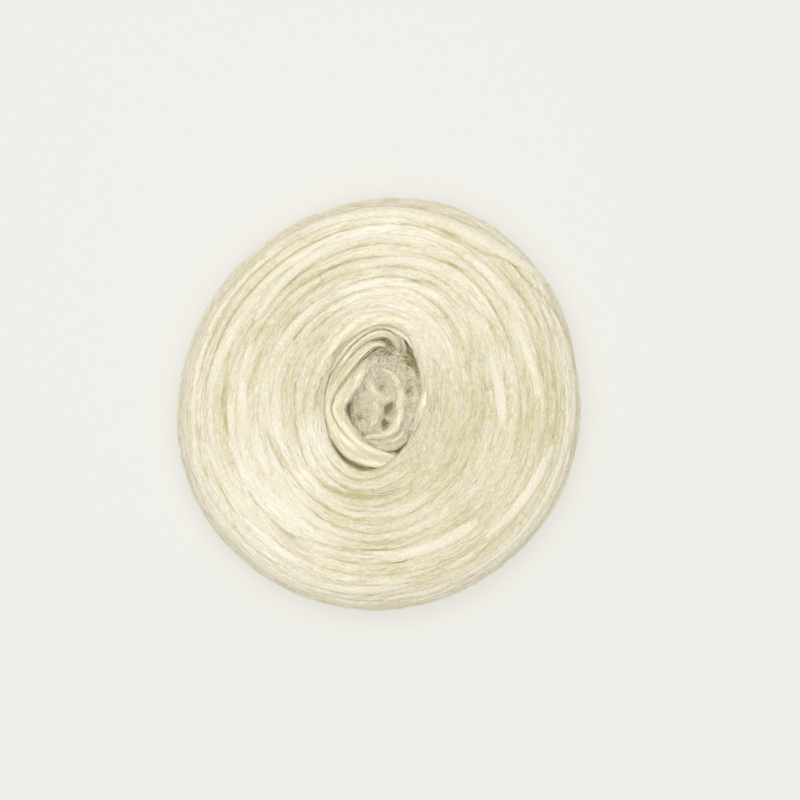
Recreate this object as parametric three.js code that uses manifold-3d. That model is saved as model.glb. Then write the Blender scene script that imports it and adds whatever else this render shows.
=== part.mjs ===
// A plate of unspun wool. One soft roving is wound into a flat round wheel that lies on its side.
// The turns run as one spiral from the hollow eye in the middle, over the top and down the side to
// the flat base. In the eye lie two loose strands of the roving's inner end, side by side, and the
// teased tuft that they run into.
// Millimetres, +Z up. The origin is on the surface that the plate lies on, under its middle.
import * as THREE from "three";
import { mergeVertices } from "three/addons/utils/BufferGeometryUtils.js";
import Module from "manifold-3d";

// Driving dimensions of the wound plate
const PLATE_RADIUS = 90;
const PLATE_HEIGHT = 45;
const LAID_WIDTH = 5; // from one turn of the roving to the next
const GROOVE_DEPTH = 1.4;

// The eye, an oval hollow that leans to the right at its top, and the deeper pit on its floor
const EYE = { x: -3.2, y: 2.4, half_width: 21, half_length: 31.6, lean_deg: 9 };
const PIT = { x: 0.4, y: 1.6, half_width: 12.2, half_length: 18.6, lean_deg: 9 };
const LEDGE_HEIGHT = 32.6;
const PIT_LIP_HEIGHT = 33.6;
const PIT_FLOOR_HEIGHT = 27;

// The loose strands and the tuft
const OUTER_STRAND_DIAMETER = 5.4;
const INNER_STRAND_DIAMETER = 5;
const TUFT_TOP_HEIGHT = 37;
const GAP = 0.35; // between pieces that lie against each other

// How finely the surfaces are faceted
const STEPS = 64; // round one turn
const ROWS_PER_TURN = 3;
const TUBE_SIDES = 10;
const DIAMETERS_PER_STEP = 0.5;
const TUFT_STEPS = 32;
const TOLERANCE = 1e-4;

// The outline bulges and flattens in a few waves round the plate
const OUTLINE_WAVES = [
  { waves: 2, rise: 2.0, peak_deg: 60 },
  { waves: 3, rise: 1.0, peak_deg: 72 },
  { waves: 4, rise: 0.35, peak_deg: 62 },
  { waves: 5, rise: 0.3, peak_deg: 58 },
];

// The wound surface in section, from the lip of the eye over the top and down to the flat base.
// out runs from the lip to the widest point of the side, and up is a share of the plate's height.
const RIM_TO_RIM = 65;
const SECTION = [
  { out: 0, up: 0.9 },
  { out: 4.5, up: 0.955 },
  { out: 16, up: 0.99 },
  { out: 30, up: 0.995 },
  { out: 44, up: 0.98 },
  { out: 53, up: 0.935 },
  { out: 59, up: 0.845 },
  { out: 63, up: 0.69 },
  { out: 65, up: 0.48 },
  { out: 64.4, up: 0.27 },
  { out: 61.5, up: 0.1 },
  { out: 57, up: 0.01 },
  { out: 52, up: 0 },
  { out: 40, up: 0 },
];
const BASE_EDGE = { out: 53, fades_over: 5 }; // the grooves fade out before the base

// The floor and wall of the eye, from its middle to its lip. size is a share of the oval's own size.
const EYE_RINGS = [
  { oval: PIT, size: 0.9, height: PIT_FLOOR_HEIGHT },
  { oval: PIT, size: 1, height: PIT_LIP_HEIGHT },
  { oval: EYE, size: 0.9, height: LEDGE_HEIGHT },
  { oval: EYE, size: 0.955, height: 35.5 },
  { oval: EYE, size: 0.99, height: 38.8 },
];

// Slow waves that make the turns stray sideways and their grooves deepen and fade
const STRAYING = [
  { rise: 0.7, waves: 2, per_mm: 0.05, start: 0.4 },
  { rise: 0.45, waves: 3, per_mm: -0.11, start: 2.1 },
  { rise: 0.3, waves: 5, per_mm: 0.17, start: 4.0 },
];
const FADING = [
  { rise: 0.3, waves: 1, per_mm: 0.31, start: 1.0 },
  { rise: 0.22, waves: 4, per_mm: -0.23, start: 3.3 },
  { rise: 0.18, waves: 7, per_mm: 0.4, start: 5.2 },
];
const GROOVE_SHARE = { middling: 0.75, least: 0.2, most: 1.3 }; // of the groove's depth

// The last turn lies slantwise over the others as a raised band and slides down over the edge.
// inset is the distance of its middle from the outline, and turn_deg runs counter-clockwise.
const LAST_TURN = { width: 8, rise: 1.8 };
const LAST_TURN_PATH = [
  { turn_deg: 8, inset: -1.5, share: 0 },
  { turn_deg: 19, inset: 0.5, share: 0.5 },
  { turn_deg: 29, inset: 1.6, share: 0.9 },
  { turn_deg: 38, inset: 2.8, share: 1 },
  { turn_deg: 45, inset: 3.4, share: 1 },
  { turn_deg: 54, inset: 5.6, share: 1 },
  { turn_deg: 64, inset: 7.4, share: 1 },
  { turn_deg: 77, inset: 6.8, share: 1 },
  { turn_deg: 95, inset: 5.6, share: 0.9 },
  { turn_deg: 115, inset: 4.4, share: 0.5 },
  { turn_deg: 135, inset: 3, share: 0 },
];

// Where the roving leaves the wound turns, as an angle round the eye
const SPIRAL_START_DEG = 294;

// The outer strand: out from under the lip, up the left side of the eye, over and down into the tuft
const OUTER_STRAND_ROUTE = [
  [11.9, -26.0, 33.4],
  [8.9, -25.6, 33.9],
  [5.7, -25.2, 34.6],
  [2.4, -25.0, 35.2],
  [-0.9, -24.7, 35.6],
  [-4.2, -24.2, 35.7],
  [-7.2, -23.2, 35.7],
  [-10.0, -21.9, 35.7],
  [-12.5, -20.2, 35.7],
  [-14.7, -18.0, 35.7],
  [-16.8, -15.3, 35.7],
  [-18.5, -12.4, 35.7],
  [-19.9, -9.2, 35.7],
  [-20.9, -5.8, 35.7],
  [-21.5, -2.2, 35.7],
  [-21.7, 1.6, 35.7],
  [-21.3, 5.4, 35.7],
  [-20.2, 9.2, 35.7],
  [-18.5, 13.0, 35.7],
  [-16.4, 16.8, 35.8],
  [-14.0, 20.5, 36.0],
  [-11.3, 24.1, 36.2],
  [-8.4, 27.4, 36.4],
  [-5.3, 30.1, 36.6],
  [-2.0, 31.6, 36.7],
  [1.4, 31.9, 36.6],
  [4.5, 30.7, 36.2],
  [6.7, 28.2, 35.4],
  [7.8, 25.0, 34.2],
  [8.0, 21.6, 32.8],
].map(([x, y, z]) => new THREE.Vector3(x, y, z));

// The inner strand: out from under the lip, beside the outer one, and into the tuft sooner
const INNER_STRAND_ROUTE = [
  [11.4, -19.6, 35.6],
  [8.2, -19.9, 36.4],
  [4.9, -20.0, 37.0],
  [1.6, -19.8, 37.2],
  [-1.6, -19.1, 37.2],
  [-4.7, -17.7, 37.2],
  [-7.6, -15.7, 37.2],
  [-10.2, -13.1, 37.2],
  [-12.4, -10.1, 37.2],
  [-14.3, -6.8, 37.3],
  [-15.7, -3.3, 37.5],
  [-16.4, 0.4, 37.6],
  [-16.2, 4.2, 37.6],
  [-15.2, 7.9, 37.5],
  [-13.4, 11.4, 37.4],
  [-11.2, 14.7, 37.2],
  [-8.6, 17.6, 36.8],
  [-5.7, 20.0, 36.2],
  [-2.6, 21.6, 35.4],
  [0.6, 22.2, 34.4],
].map(([x, y, z]) => new THREE.Vector3(x, y, z));

const wasm = await Module();
wasm.setup();

const WOOL = new THREE.MeshStandardMaterial({ color: 0xeae2c6, roughness: 0.95, metalness: 0 });
const LOOSE_WOOL = new THREE.MeshStandardMaterial({ color: 0xf0e9d2, roughness: 0.95, metalness: 0 });
const TEASED_WOOL = new THREE.MeshStandardMaterial({ color: 0xd8cfb0, roughness: 1, metalness: 0 });

// The sum of a table of waves at an angle and a distance along the section
function waveSum(table, angle, distance) {
  return table.reduce(
    (sum, w) => sum + w.rise * Math.sin(w.waves * angle + w.per_mm * distance + w.start),
    0,
  );
}

function outlineRadius(angle) {
  return OUTLINE_WAVES.reduce(
    (sum, w) => sum + w.rise * Math.cos(w.waves * (angle - THREE.MathUtils.degToRad(w.peak_deg))),
    PLATE_RADIUS,
  );
}

// The distance from an oval's middle to its edge
function ovalRadius(oval, angle) {
  const turned = angle + THREE.MathUtils.degToRad(oval.lean_deg);
  return 1 / Math.hypot(Math.cos(turned) / oval.half_width, Math.sin(turned) / oval.half_length);
}

const section = new THREE.SplineCurve(
  SECTION.map((p) => new THREE.Vector2(p.out, p.up * PLATE_HEIGHT)),
);
section.arcLengthDivisions = 1200;
const SECTION_LENGTH = section.getLength();

// How far the raised band of the last turn covers and lifts a point of the wound surface
function lastTurn(angle, out) {
  const turn = (THREE.MathUtils.radToDeg(angle) + 360) % 360;
  const after = LAST_TURN_PATH.findIndex((p) => p.turn_deg > turn);
  if (after < 1) return { cover: 0, rise: 0 };
  const [a, b] = [LAST_TURN_PATH[after - 1], LAST_TURN_PATH[after]];
  const t = (turn - a.turn_deg) / (b.turn_deg - a.turn_deg);
  const inset = THREE.MathUtils.lerp(a.inset, b.inset, t);
  const share = THREE.MathUtils.lerp(a.share, b.share, t);
  const aside = (RIM_TO_RIM - out - inset) / (LAST_TURN.width / 2);
  const round = Math.sqrt(Math.max(0, 1 - aside * aside));
  return { cover: round > 0 ? share : 0, rise: LAST_TURN.rise * share * round };
}

// A point of the wound surface, at a distance along the section and an angle round the plate.
// crest is 1 on the back of a turn and 0 in the groove beside it.
function woundPoint(distance, angle, crest) {
  const at_lip = Math.min(1, distance / LAID_WIDTH);
  const strayed = distance + waveSum(STRAYING, angle, distance) * at_lip;
  const u = THREE.MathUtils.clamp(strayed / SECTION_LENGTH, 0, 1);
  const at = section.getPointAt(u);
  const along = section.getTangentAt(u);
  const below = at.y < PLATE_HEIGHT / 2;
  const relief = below
    ? THREE.MathUtils.smoothstep(at.x, BASE_EDGE.out, BASE_EDGE.out + BASE_EDGE.fades_over)
    : 1;
  const { cover, rise } = below ? { cover: 0, rise: 0 } : lastTurn(angle, at.x);
  const share = THREE.MathUtils.clamp(
    GROOVE_SHARE.middling + waveSum(FADING, angle, distance),
    GROOVE_SHARE.least,
    GROOVE_SHARE.most,
  );
  const lift = relief * (rise + (crest - 1) * GROOVE_DEPTH * share * (1 - cover));
  const out = (at.x - along.y * lift) / RIM_TO_RIM;
  const reach = THREE.MathUtils.lerp(ovalRadius(EYE, angle), outlineRadius(angle), out);
  return new THREE.Vector3(
    EYE.x * (1 - out) + reach * Math.cos(angle),
    EYE.y * (1 - out) + reach * Math.sin(angle),
    relief > 0 ? Math.max(0, at.y + along.x * lift) : 0,
  );
}

// A loop of points round an oval, each with its share of the way round. heightAt takes an angle.
function ovalLoop(oval, size, heightAt, steps = STEPS) {
  return Array.from({ length: steps }, (_, step) => {
    const angle = THREE.MathUtils.degToRad(SPIRAL_START_DEG) + (2 * Math.PI * step) / steps;
    const reach = size * ovalRadius(oval, angle);
    const [x, y] = [oval.x + reach * Math.cos(angle), oval.y + reach * Math.sin(angle)];
    return { share: step / steps, point: new THREE.Vector3(x, y, heightAt(angle)) };
  });
}

// The triangles between two loops that both run counter-clockwise, seen from the side they face.
// The loops may have different numbers of points.
function bridge(inner, outer, triangles) {
  const at = (loop, k) => loop[k % loop.length].point;
  const shareOf = (loop, k) => (k < loop.length ? loop[k].share : 1);
  let [i, j] = [0, 0];
  while (i < inner.length || j < outer.length) {
    const outer_next = shareOf(outer, j + 1) <= shareOf(inner, i + 1);
    if (i >= inner.length || (j < outer.length && outer_next)) {
      triangles.push(at(inner, i), at(outer, j), at(outer, j + 1));
      j += 1;
    } else {
      triangles.push(at(inner, i), at(outer, j), at(inner, i + 1));
      i += 1;
    }
  }
}

// The triangles from one point to a loop round it, facing up or down
function fan(centre, loop, faces_up, triangles) {
  loop.forEach(({ point }, k) => {
    const next = loop[(k + 1) % loop.length].point;
    triangles.push(...(faces_up ? [centre, point, next] : [point, centre, next]));
  });
}

// A solid for joining and cutting, from a closed geometry
function solidOf(geometry) {
  const bare = geometry.index ? geometry.toNonIndexed() : geometry.clone();
  bare.deleteAttribute("normal");
  bare.deleteAttribute("uv");
  const merged = mergeVertices(bare, TOLERANCE);
  return new wasm.Manifold(
    new wasm.Mesh({
      numProp: 3,
      vertProperties: merged.attributes.position.array,
      triVerts: new Uint32Array(merged.index.array),
    }),
  );
}

function solidOfTriangles(triangles) {
  return solidOf(new THREE.BufferGeometry().setFromPoints(triangles));
}

function meshOf(solid, material, name) {
  const made = solid.getMesh();
  const geometry = new THREE.BufferGeometry();
  geometry.setAttribute("position", new THREE.BufferAttribute(made.vertProperties, 3));
  geometry.setIndex(new THREE.BufferAttribute(made.triVerts, 1));
  geometry.computeVertexNormals();
  const mesh = new THREE.Mesh(geometry, material);
  mesh.name = name;
  return mesh;
}

// The wound plate: the spiral of turns, closed by the eye inside it and by the flat base below
function woundPlate() {
  const triangles = [];
  const start = THREE.MathUtils.degToRad(SPIRAL_START_DEG);
  const last_row = Math.floor((SECTION_LENGTH / LAID_WIDTH - 1) * ROWS_PER_TURN);
  const at = (row, step) => {
    const whole = row + ROWS_PER_TURN * Math.floor(step / STEPS);
    const part = (step % STEPS) / STEPS;
    const distance = (whole / ROWS_PER_TURN + part) * LAID_WIDTH;
    return woundPoint(distance, start + 2 * Math.PI * part, whole % ROWS_PER_TURN === 0 ? 0 : 1);
  };
  for (let row = 0; row < last_row; row++) {
    for (let step = 0; step < STEPS; step++) {
      const [a, b] = [at(row, step), at(row + 1, step)];
      const [c, d] = [at(row + 1, step + 1), at(row, step + 1)];
      triangles.push(a, b, c, a, c, d);
    }
  }
  // The spiral comes back one turn further out, so its border closes with a step as wide as a turn
  const border = (row) => [
    ...Array.from({ length: STEPS }, (_, step) => ({ share: step / STEPS, point: at(row, step) })),
    ...Array.from({ length: ROWS_PER_TURN }, (_, k) => ({
      share: 1,
      point: at(row + ROWS_PER_TURN - k, 0),
    })),
  ];
  const rings = EYE_RINGS.map(({ oval, size, height }) => ovalLoop(oval, size, () => height));
  fan(new THREE.Vector3(PIT.x, PIT.y, PIT_FLOOR_HEIGHT), rings[0], true, triangles);
  rings.slice(1).forEach((ring, k) => bridge(rings[k], ring, triangles));
  bridge(rings.at(-1), border(0), triangles);
  fan(new THREE.Vector3(0, 0, 0), border(last_row), false, triangles);
  return solidOfTriangles(triangles);
}

// A round strand along its route, made longer at both ends by overrun
function strand(route, radius, overrun) {
  const path = new THREE.CatmullRomCurve3(route);
  const first = route[0].clone().addScaledVector(path.getTangent(0), -overrun);
  const last = route.at(-1).clone().addScaledVector(path.getTangent(1), overrun);
  const whole = new THREE.CatmullRomCurve3([first, ...route.slice(1, -1), last]);
  const round = new THREE.Shape(
    Array.from({ length: TUBE_SIDES }, (_, k) => {
      const angle = (2 * Math.PI * k) / TUBE_SIDES;
      return new THREE.Vector2(radius * Math.cos(angle), radius * Math.sin(angle));
    }),
  );
  const steps = Math.round(path.getLength() / (2 * radius * DIAMETERS_PER_STEP));
  return solidOf(new THREE.ExtrudeGeometry(round, { steps, extrudePath: whole }));
}

// The tuft: a lumpy pad of teased fibre that fills the pit and rises a little out of it
function tuft() {
  const triangles = [];
  const underside = PIT_FLOOR_HEIGHT + GAP;
  const rise = TUFT_TOP_HEIGHT - PIT_LIP_HEIGHT;
  const domed = (size) => (angle) => {
    const lump = 0.9 * Math.sin(3 * angle + 1.1) + 0.7 * Math.sin(5 * angle + 6 * size);
    return PIT_LIP_HEIGHT + rise * Math.sqrt(1 - size * size) + size * lump;
  };
  const loop = (size, heightAt) => ovalLoop(PIT, size, heightAt, TUFT_STEPS);
  const rings = [0.22, 0.44, 0.64, 0.8].map((size) => loop(size, domed(size)));
  rings.push(loop(0.9, () => PIT_LIP_HEIGHT - 1.5));
  const foot = loop(0.84, () => underside);
  fan(new THREE.Vector3(PIT.x, PIT.y, TUFT_TOP_HEIGHT), rings[0], true, triangles);
  rings.slice(1).forEach((ring, k) => bridge(rings[k], ring, triangles));
  bridge(rings.at(-1), foot, triangles);
  fan(new THREE.Vector3(PIT.x, PIT.y, underside), foot, false, triangles);
  return solidOfTriangles(triangles);
}

const outer_radius = OUTER_STRAND_DIAMETER / 2;
const inner_radius = INNER_STRAND_DIAMETER / 2;
const clearance = strand(OUTER_STRAND_ROUTE, outer_radius + GAP, GAP).add(
  strand(INNER_STRAND_ROUTE, inner_radius + GAP, GAP),
);
const plate = new THREE.Group();
plate.add(
  meshOf(woundPlate().subtract(clearance), WOOL, "wound_plate"),
  meshOf(strand(OUTER_STRAND_ROUTE, outer_radius, 0), LOOSE_WOOL, "eye_strand_outer"),
  meshOf(strand(INNER_STRAND_ROUTE, inner_radius, 0), LOOSE_WOOL, "eye_strand_inner"),
  meshOf(tuft().subtract(clearance), TEASED_WOOL, "eye_tuft"),
);

// The origin goes under the middle of the whole outline
const box = new THREE.Box3().setFromObject(plate, true);
plate.position.set(-(box.min.x + box.max.x) / 2, -(box.min.y + box.max.y) / 2, 0);

export default plate;
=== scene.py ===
import logging
import math
from dataclasses import dataclass
from enum import Enum
from typing import Sequence

import bpy
import numpy as np
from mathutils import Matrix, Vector


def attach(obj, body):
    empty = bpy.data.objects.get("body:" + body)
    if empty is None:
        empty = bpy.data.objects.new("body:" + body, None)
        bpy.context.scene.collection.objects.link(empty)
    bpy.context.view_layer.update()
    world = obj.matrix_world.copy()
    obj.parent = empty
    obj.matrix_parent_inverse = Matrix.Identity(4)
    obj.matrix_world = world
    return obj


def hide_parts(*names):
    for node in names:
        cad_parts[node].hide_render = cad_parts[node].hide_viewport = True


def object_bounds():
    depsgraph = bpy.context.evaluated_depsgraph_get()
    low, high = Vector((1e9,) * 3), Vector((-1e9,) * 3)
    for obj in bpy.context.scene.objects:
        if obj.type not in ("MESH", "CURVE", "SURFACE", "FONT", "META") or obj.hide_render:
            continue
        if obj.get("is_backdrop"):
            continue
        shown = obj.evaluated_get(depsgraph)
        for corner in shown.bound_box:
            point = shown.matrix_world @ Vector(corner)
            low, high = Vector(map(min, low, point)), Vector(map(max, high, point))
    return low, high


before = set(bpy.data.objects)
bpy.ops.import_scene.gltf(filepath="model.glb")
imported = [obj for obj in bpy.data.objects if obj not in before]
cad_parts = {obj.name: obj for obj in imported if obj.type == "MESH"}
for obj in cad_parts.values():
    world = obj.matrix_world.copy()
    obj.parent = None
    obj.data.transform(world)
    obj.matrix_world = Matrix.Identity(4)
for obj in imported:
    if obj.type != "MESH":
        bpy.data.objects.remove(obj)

log = logging.getLogger("wool_plate")
MM = 0.001
FULL_TURN = 2.0 * math.pi
Array = np.ndarray


class Slot(Enum):
    """The record's material slots."""

    WOOL = "wool"
    LOOSE = "loose_wool"
    TEASED = "teased_wool"


def smoothstep(value: Array, low: float, high: float) -> Array:
    """Returns 0 below low, 1 above high and a smooth rise between them."""
    share = np.clip((value - low) / (high - low), 0.0, 1.0)
    return share * share * (3.0 - 2.0 * share)


def lerp(low: Array, high: Array, share: Array) -> Array:
    """Returns the value a share of the way from low to high."""
    return low + (high - low) * share


def around_plate(values: Sequence[float], angle: Array) -> Array:
    """Reads values that are given at even angles round the plate.

    Args:
        values: the values, counter-clockwise from the right.
        angle: angles round the plate, in radians.

    Returns:
        The value at each angle.
    """
    part = (angle / FULL_TURN) % 1.0
    places = np.linspace(0.0, 1.0, len(values) + 1)
    return np.interp(part, places, (*values, values[0]))


@dataclass(frozen=True)
class FibreNoise:
    """Smooth random values over a strand, from 0 to 1, the same at every run.

    A number that a caller adds to its places only picks another part of the noise.
    """

    seed: int
    size: int = 1 << 16
    row_step: int = 7919
    column_step: int = 104729

    def __post_init__(self) -> None:
        """Draws the lattice that the values are read from."""
        values = np.random.default_rng(self.seed).random(self.size)
        object.__setattr__(self, "lattice", values)

    def __call__(self, along: Array, across: Array, around: int = 0) -> Array:
        """Reads the noise.

        Args:
            along: places along the strand, in cells.
            across: places across the strand, in cells.
            around: after how many cells along it repeats, or 0 for never.

        Returns:
            Values from 0 to 1.
        """
        along, across = np.broadcast_arrays(along, across)
        row, column = np.floor(along).astype(np.int64), np.floor(across).astype(np.int64)
        u, v = along - row, across - column
        u, v = u * u * (3.0 - 2.0 * u), v * v * (3.0 - 2.0 * v)

        def at(down: int, right: int) -> Array:
            """Returns the lattice's value at a neighbouring corner."""
            lines = (row + down) % around if around else row + down
            return self.lattice[(lines * self.row_step + (column + right) * self.column_step) % self.size]

        return lerp(lerp(at(0, 0), at(0, 1), v), lerp(at(1, 0), at(1, 1), v), u)


@dataclass(frozen=True)
class Oval:
    """An oval in plan that leans to the right at its top, in millimetres."""

    x: float
    y: float
    half_width: float
    half_length: float
    lean_deg: float = 9.0

    def radius(self, angle: Array) -> Array:
        """Returns the distance from the oval's middle to its edge at an angle."""
        turned = angle + math.radians(self.lean_deg)
        return 1.0 / np.hypot(np.cos(turned) / self.half_width, np.sin(turned) / self.half_length)

    def place(self, angle: Array, share: Array | float) -> tuple[Array, Array]:
        """Returns places in plan, a share of the way from the oval's middle to its edge."""
        reach = share * self.radius(angle)
        return self.x + reach * np.cos(angle), self.y + reach * np.sin(angle)


@dataclass(frozen=True)
class Wave:
    """A slow wave round the plate and along its section."""

    rise: float
    waves: float
    per_mm: float
    start: float

    def at(self, angle: Array, distance: Array) -> Array:
        """Returns the wave's height at an angle and a distance along the section."""
        return self.rise * np.sin(self.waves * angle + self.per_mm * distance + self.start)


@dataclass(frozen=True)
class PlateForm:
    """The wound plate's form, which places every strand by angle, distance and lift.

    The angle runs counter-clockwise round the plate. The distance runs along the wound surface in
    section: it is 0 at the lip of the eye, below 0 on the eye's wall, and grows over the top, down the
    side and in under the plate. The lift stands square to the surface.
    """

    shift: tuple[float, float] = (0.78, -0.5)
    radius: float = 90.0
    height: float = 45.0
    laid_width: float = 5.0
    groove_depth: float = 1.3
    rim_to_rim: float = 65.0
    start_deg: float = 294.0
    eye: Oval = Oval(-3.2, 2.4, 21.0, 31.6)
    pit: Oval = Oval(0.4, 1.6, 12.2, 18.6)
    pit_floor_height: float = 27.0
    outline_waves: tuple[tuple[int, float, float], ...] = (
        (2, 2.0, 60.0), (3, 1.0, 72.0), (4, 0.35, 62.0), (5, 0.3, 58.0),
    )
    wall: tuple[tuple[float, float], ...] = (
        (-9.0, 0.718), (-6.0, 0.719), (-2.2, 0.724), (-1.0, 0.789), (-0.2, 0.862),
    )
    section: tuple[tuple[float, float], ...] = (
        (0.0, 0.9), (4.5, 0.955), (16.0, 0.99), (30.0, 0.995), (44.0, 0.98), (53.0, 0.935),
        (59.0, 0.845), (63.0, 0.69), (65.0, 0.48), (64.4, 0.27), (61.5, 0.1), (57.0, 0.01),
        (52.0, 0.0), (40.0, 0.0), (20.0, 0.0), (2.0, 0.004), (-8.0, 0.03), (-13.0, 0.1),
    )
    straying: tuple[Wave, ...] = (
        Wave(0.7, 2, 0.05, 0.4),
        Wave(0.45, 3, -0.11, 2.1),
        Wave(0.3, 5, 0.17, 4.0),
    )
    fading: tuple[Wave, ...] = (
        Wave(0.3, 1, 0.31, 1.0),
        Wave(0.22, 4, -0.23, 3.3),
        Wave(0.18, 7, 0.4, 5.2),
    )
    samples: int = 120

    def __post_init__(self) -> None:
        """Runs a smooth curve through the section's points and measures it."""
        points = np.array(self.wall + self.section) * (1.0, self.height)
        ends = np.vstack([points[:1], points, points[-1:]])
        t = np.linspace(0.0, 1.0, self.samples, endpoint=False)[:, None]
        pieces = []
        for a, b, c, d in zip(ends, ends[1:], ends[2:], ends[3:]):
            m0, m1 = (c - a) / 2.0, (d - b) / 2.0
            pieces.append(
                (2 * b - 2 * c + m0 + m1) * t**3 + (-3 * b + 3 * c - 2 * m0 - m1) * t**2 + m0 * t + b
            )
        line = np.vstack([*pieces, points[-1:]])
        length = np.concatenate([[0.0], np.cumsum(np.hypot(*np.diff(line, axis=0).T))])
        length -= length[len(self.wall) * self.samples]
        tangent = np.gradient(line, axis=0)
        tangent /= np.hypot(*tangent.T)[:, None]
        widest = int(np.argmax(line[:, 0]))
        for name, value in (
            ("line", line),
            ("length", length),
            ("tangent", tangent),
            ("widest", widest),
            ("rim_distance", float(length[widest])),
            ("first", float(length[0])),
            ("last", float(length[-1])),
        ):
            object.__setattr__(self, name, value)

    def outline(self, angle: Array) -> Array:
        """Returns the distance from the plate's middle to its outline."""
        return self.radius + sum(
            rise * np.cos(waves * (angle - math.radians(peak)))
            for waves, rise, peak in self.outline_waves
        )

    def distance_of(self, inset: Array) -> Array:
        """Returns the distance along the section of a place on top, so far in from the outline.

        Args:
            inset: distances in from the outline, in millimetres, or below 0 for the side.

        Returns:
            The distances along the section, in millimetres.
        """
        top = slice(0, self.widest + 1)
        found = np.interp(self.rim_to_rim - inset, self.line[top, 0], self.length[top])
        return np.where(inset > 0.0, found, self.rim_distance - inset)

    def past_rim(self, distance: Array, low: float, high: float) -> Array:
        """Returns a smooth rise from 0 to 1 between two distances that are counted from the rim."""
        return smoothstep(distance, self.rim_distance + low, self.rim_distance + high)

    def placed(self, x: Array | float, y: Array | float, z: Array | float) -> Array:
        """Returns points of the source's frame as points of the part."""
        x, y, z = np.broadcast_arrays(x, y, z)
        return np.stack([x + self.shift[0], y + self.shift[1], z], axis=-1)

    def out_of(self, distance: Array) -> Array:
        """Returns how far out from the lip a distance along the section lies."""
        return np.interp(distance, self.length, self.line[:, 0])

    def point(self, angle: Array, distance: Array, lift: Array) -> Array:
        """Places points by angle, distance along the section and lift.

        Args:
            angle: angles round the plate, in radians.
            distance: distances along the section, in millimetres.
            lift: heights square to the wound surface, in millimetres.

        Returns:
            The points, with their coordinates along the last axis.
        """
        angle, distance, lift = np.broadcast_arrays(angle, distance, lift)
        out = np.interp(distance, self.length, self.line[:, 0])
        up = np.interp(distance, self.length, self.line[:, 1])
        along_out = np.interp(distance, self.length, self.tangent[:, 0])
        along_up = np.interp(distance, self.length, self.tangent[:, 1])
        share = (out - along_up * lift) / self.rim_to_rim
        reach = lerp(self.eye.radius(angle), self.outline(angle), share)
        x = self.eye.x * (1.0 - share) + reach * np.cos(angle) + self.shift[0]
        y = self.eye.y * (1.0 - share) + reach * np.sin(angle) + self.shift[1]
        return np.stack([x, y, np.maximum(up + along_out * lift, 0.02)], axis=-1)

    def reach(self, angle: Array, distance: Array) -> Array:
        """Returns the distance from the plate's middle, for measuring along a turn."""
        share = self.out_of(distance) / self.rim_to_rim
        return lerp(self.eye.radius(angle), self.outline(angle), share)


@dataclass(frozen=True)
class Creases:
    """Creases between the plies of the roving, which wander across the turns.

    A crease runs where a noise over the plate passes its middle value.
    """

    around: int
    width: float
    sharpness: float
    depth: float
    noise: FibreNoise
    crimp: float = 0.9
    crimp_cells: int = 120
    crimp_width: float = 3.0
    fade_width: float = 2.5
    fade: tuple[float, float] = (0.25, 0.7)

    def __call__(self, angle: Array, distance: Array) -> Array:
        """Returns how deep the creases are at an angle and a distance along the section.

        Args:
            angle: angles round the plate, in radians.
            distance: distances along the section, in millimetres.

        Returns:
            The creases' depths, in millimetres.
        """
        share = angle / FULL_TURN
        places = distance / self.crimp_width + 900.0
        wavy = self.noise(share * self.crimp_cells, places, self.crimp_cells) - 0.5
        distance = distance + wavy * self.crimp
        value = self.noise(share * self.around, distance / self.width + 200.0, self.around)
        half = self.around // 2
        fade = self.noise(share * half, distance / (self.fade_width * self.width) + 500.0, half)
        crease = np.exp(-(((value - 0.5) / self.sharpness) ** 2))
        return self.depth * crease * smoothstep(fade, *self.fade)


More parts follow.
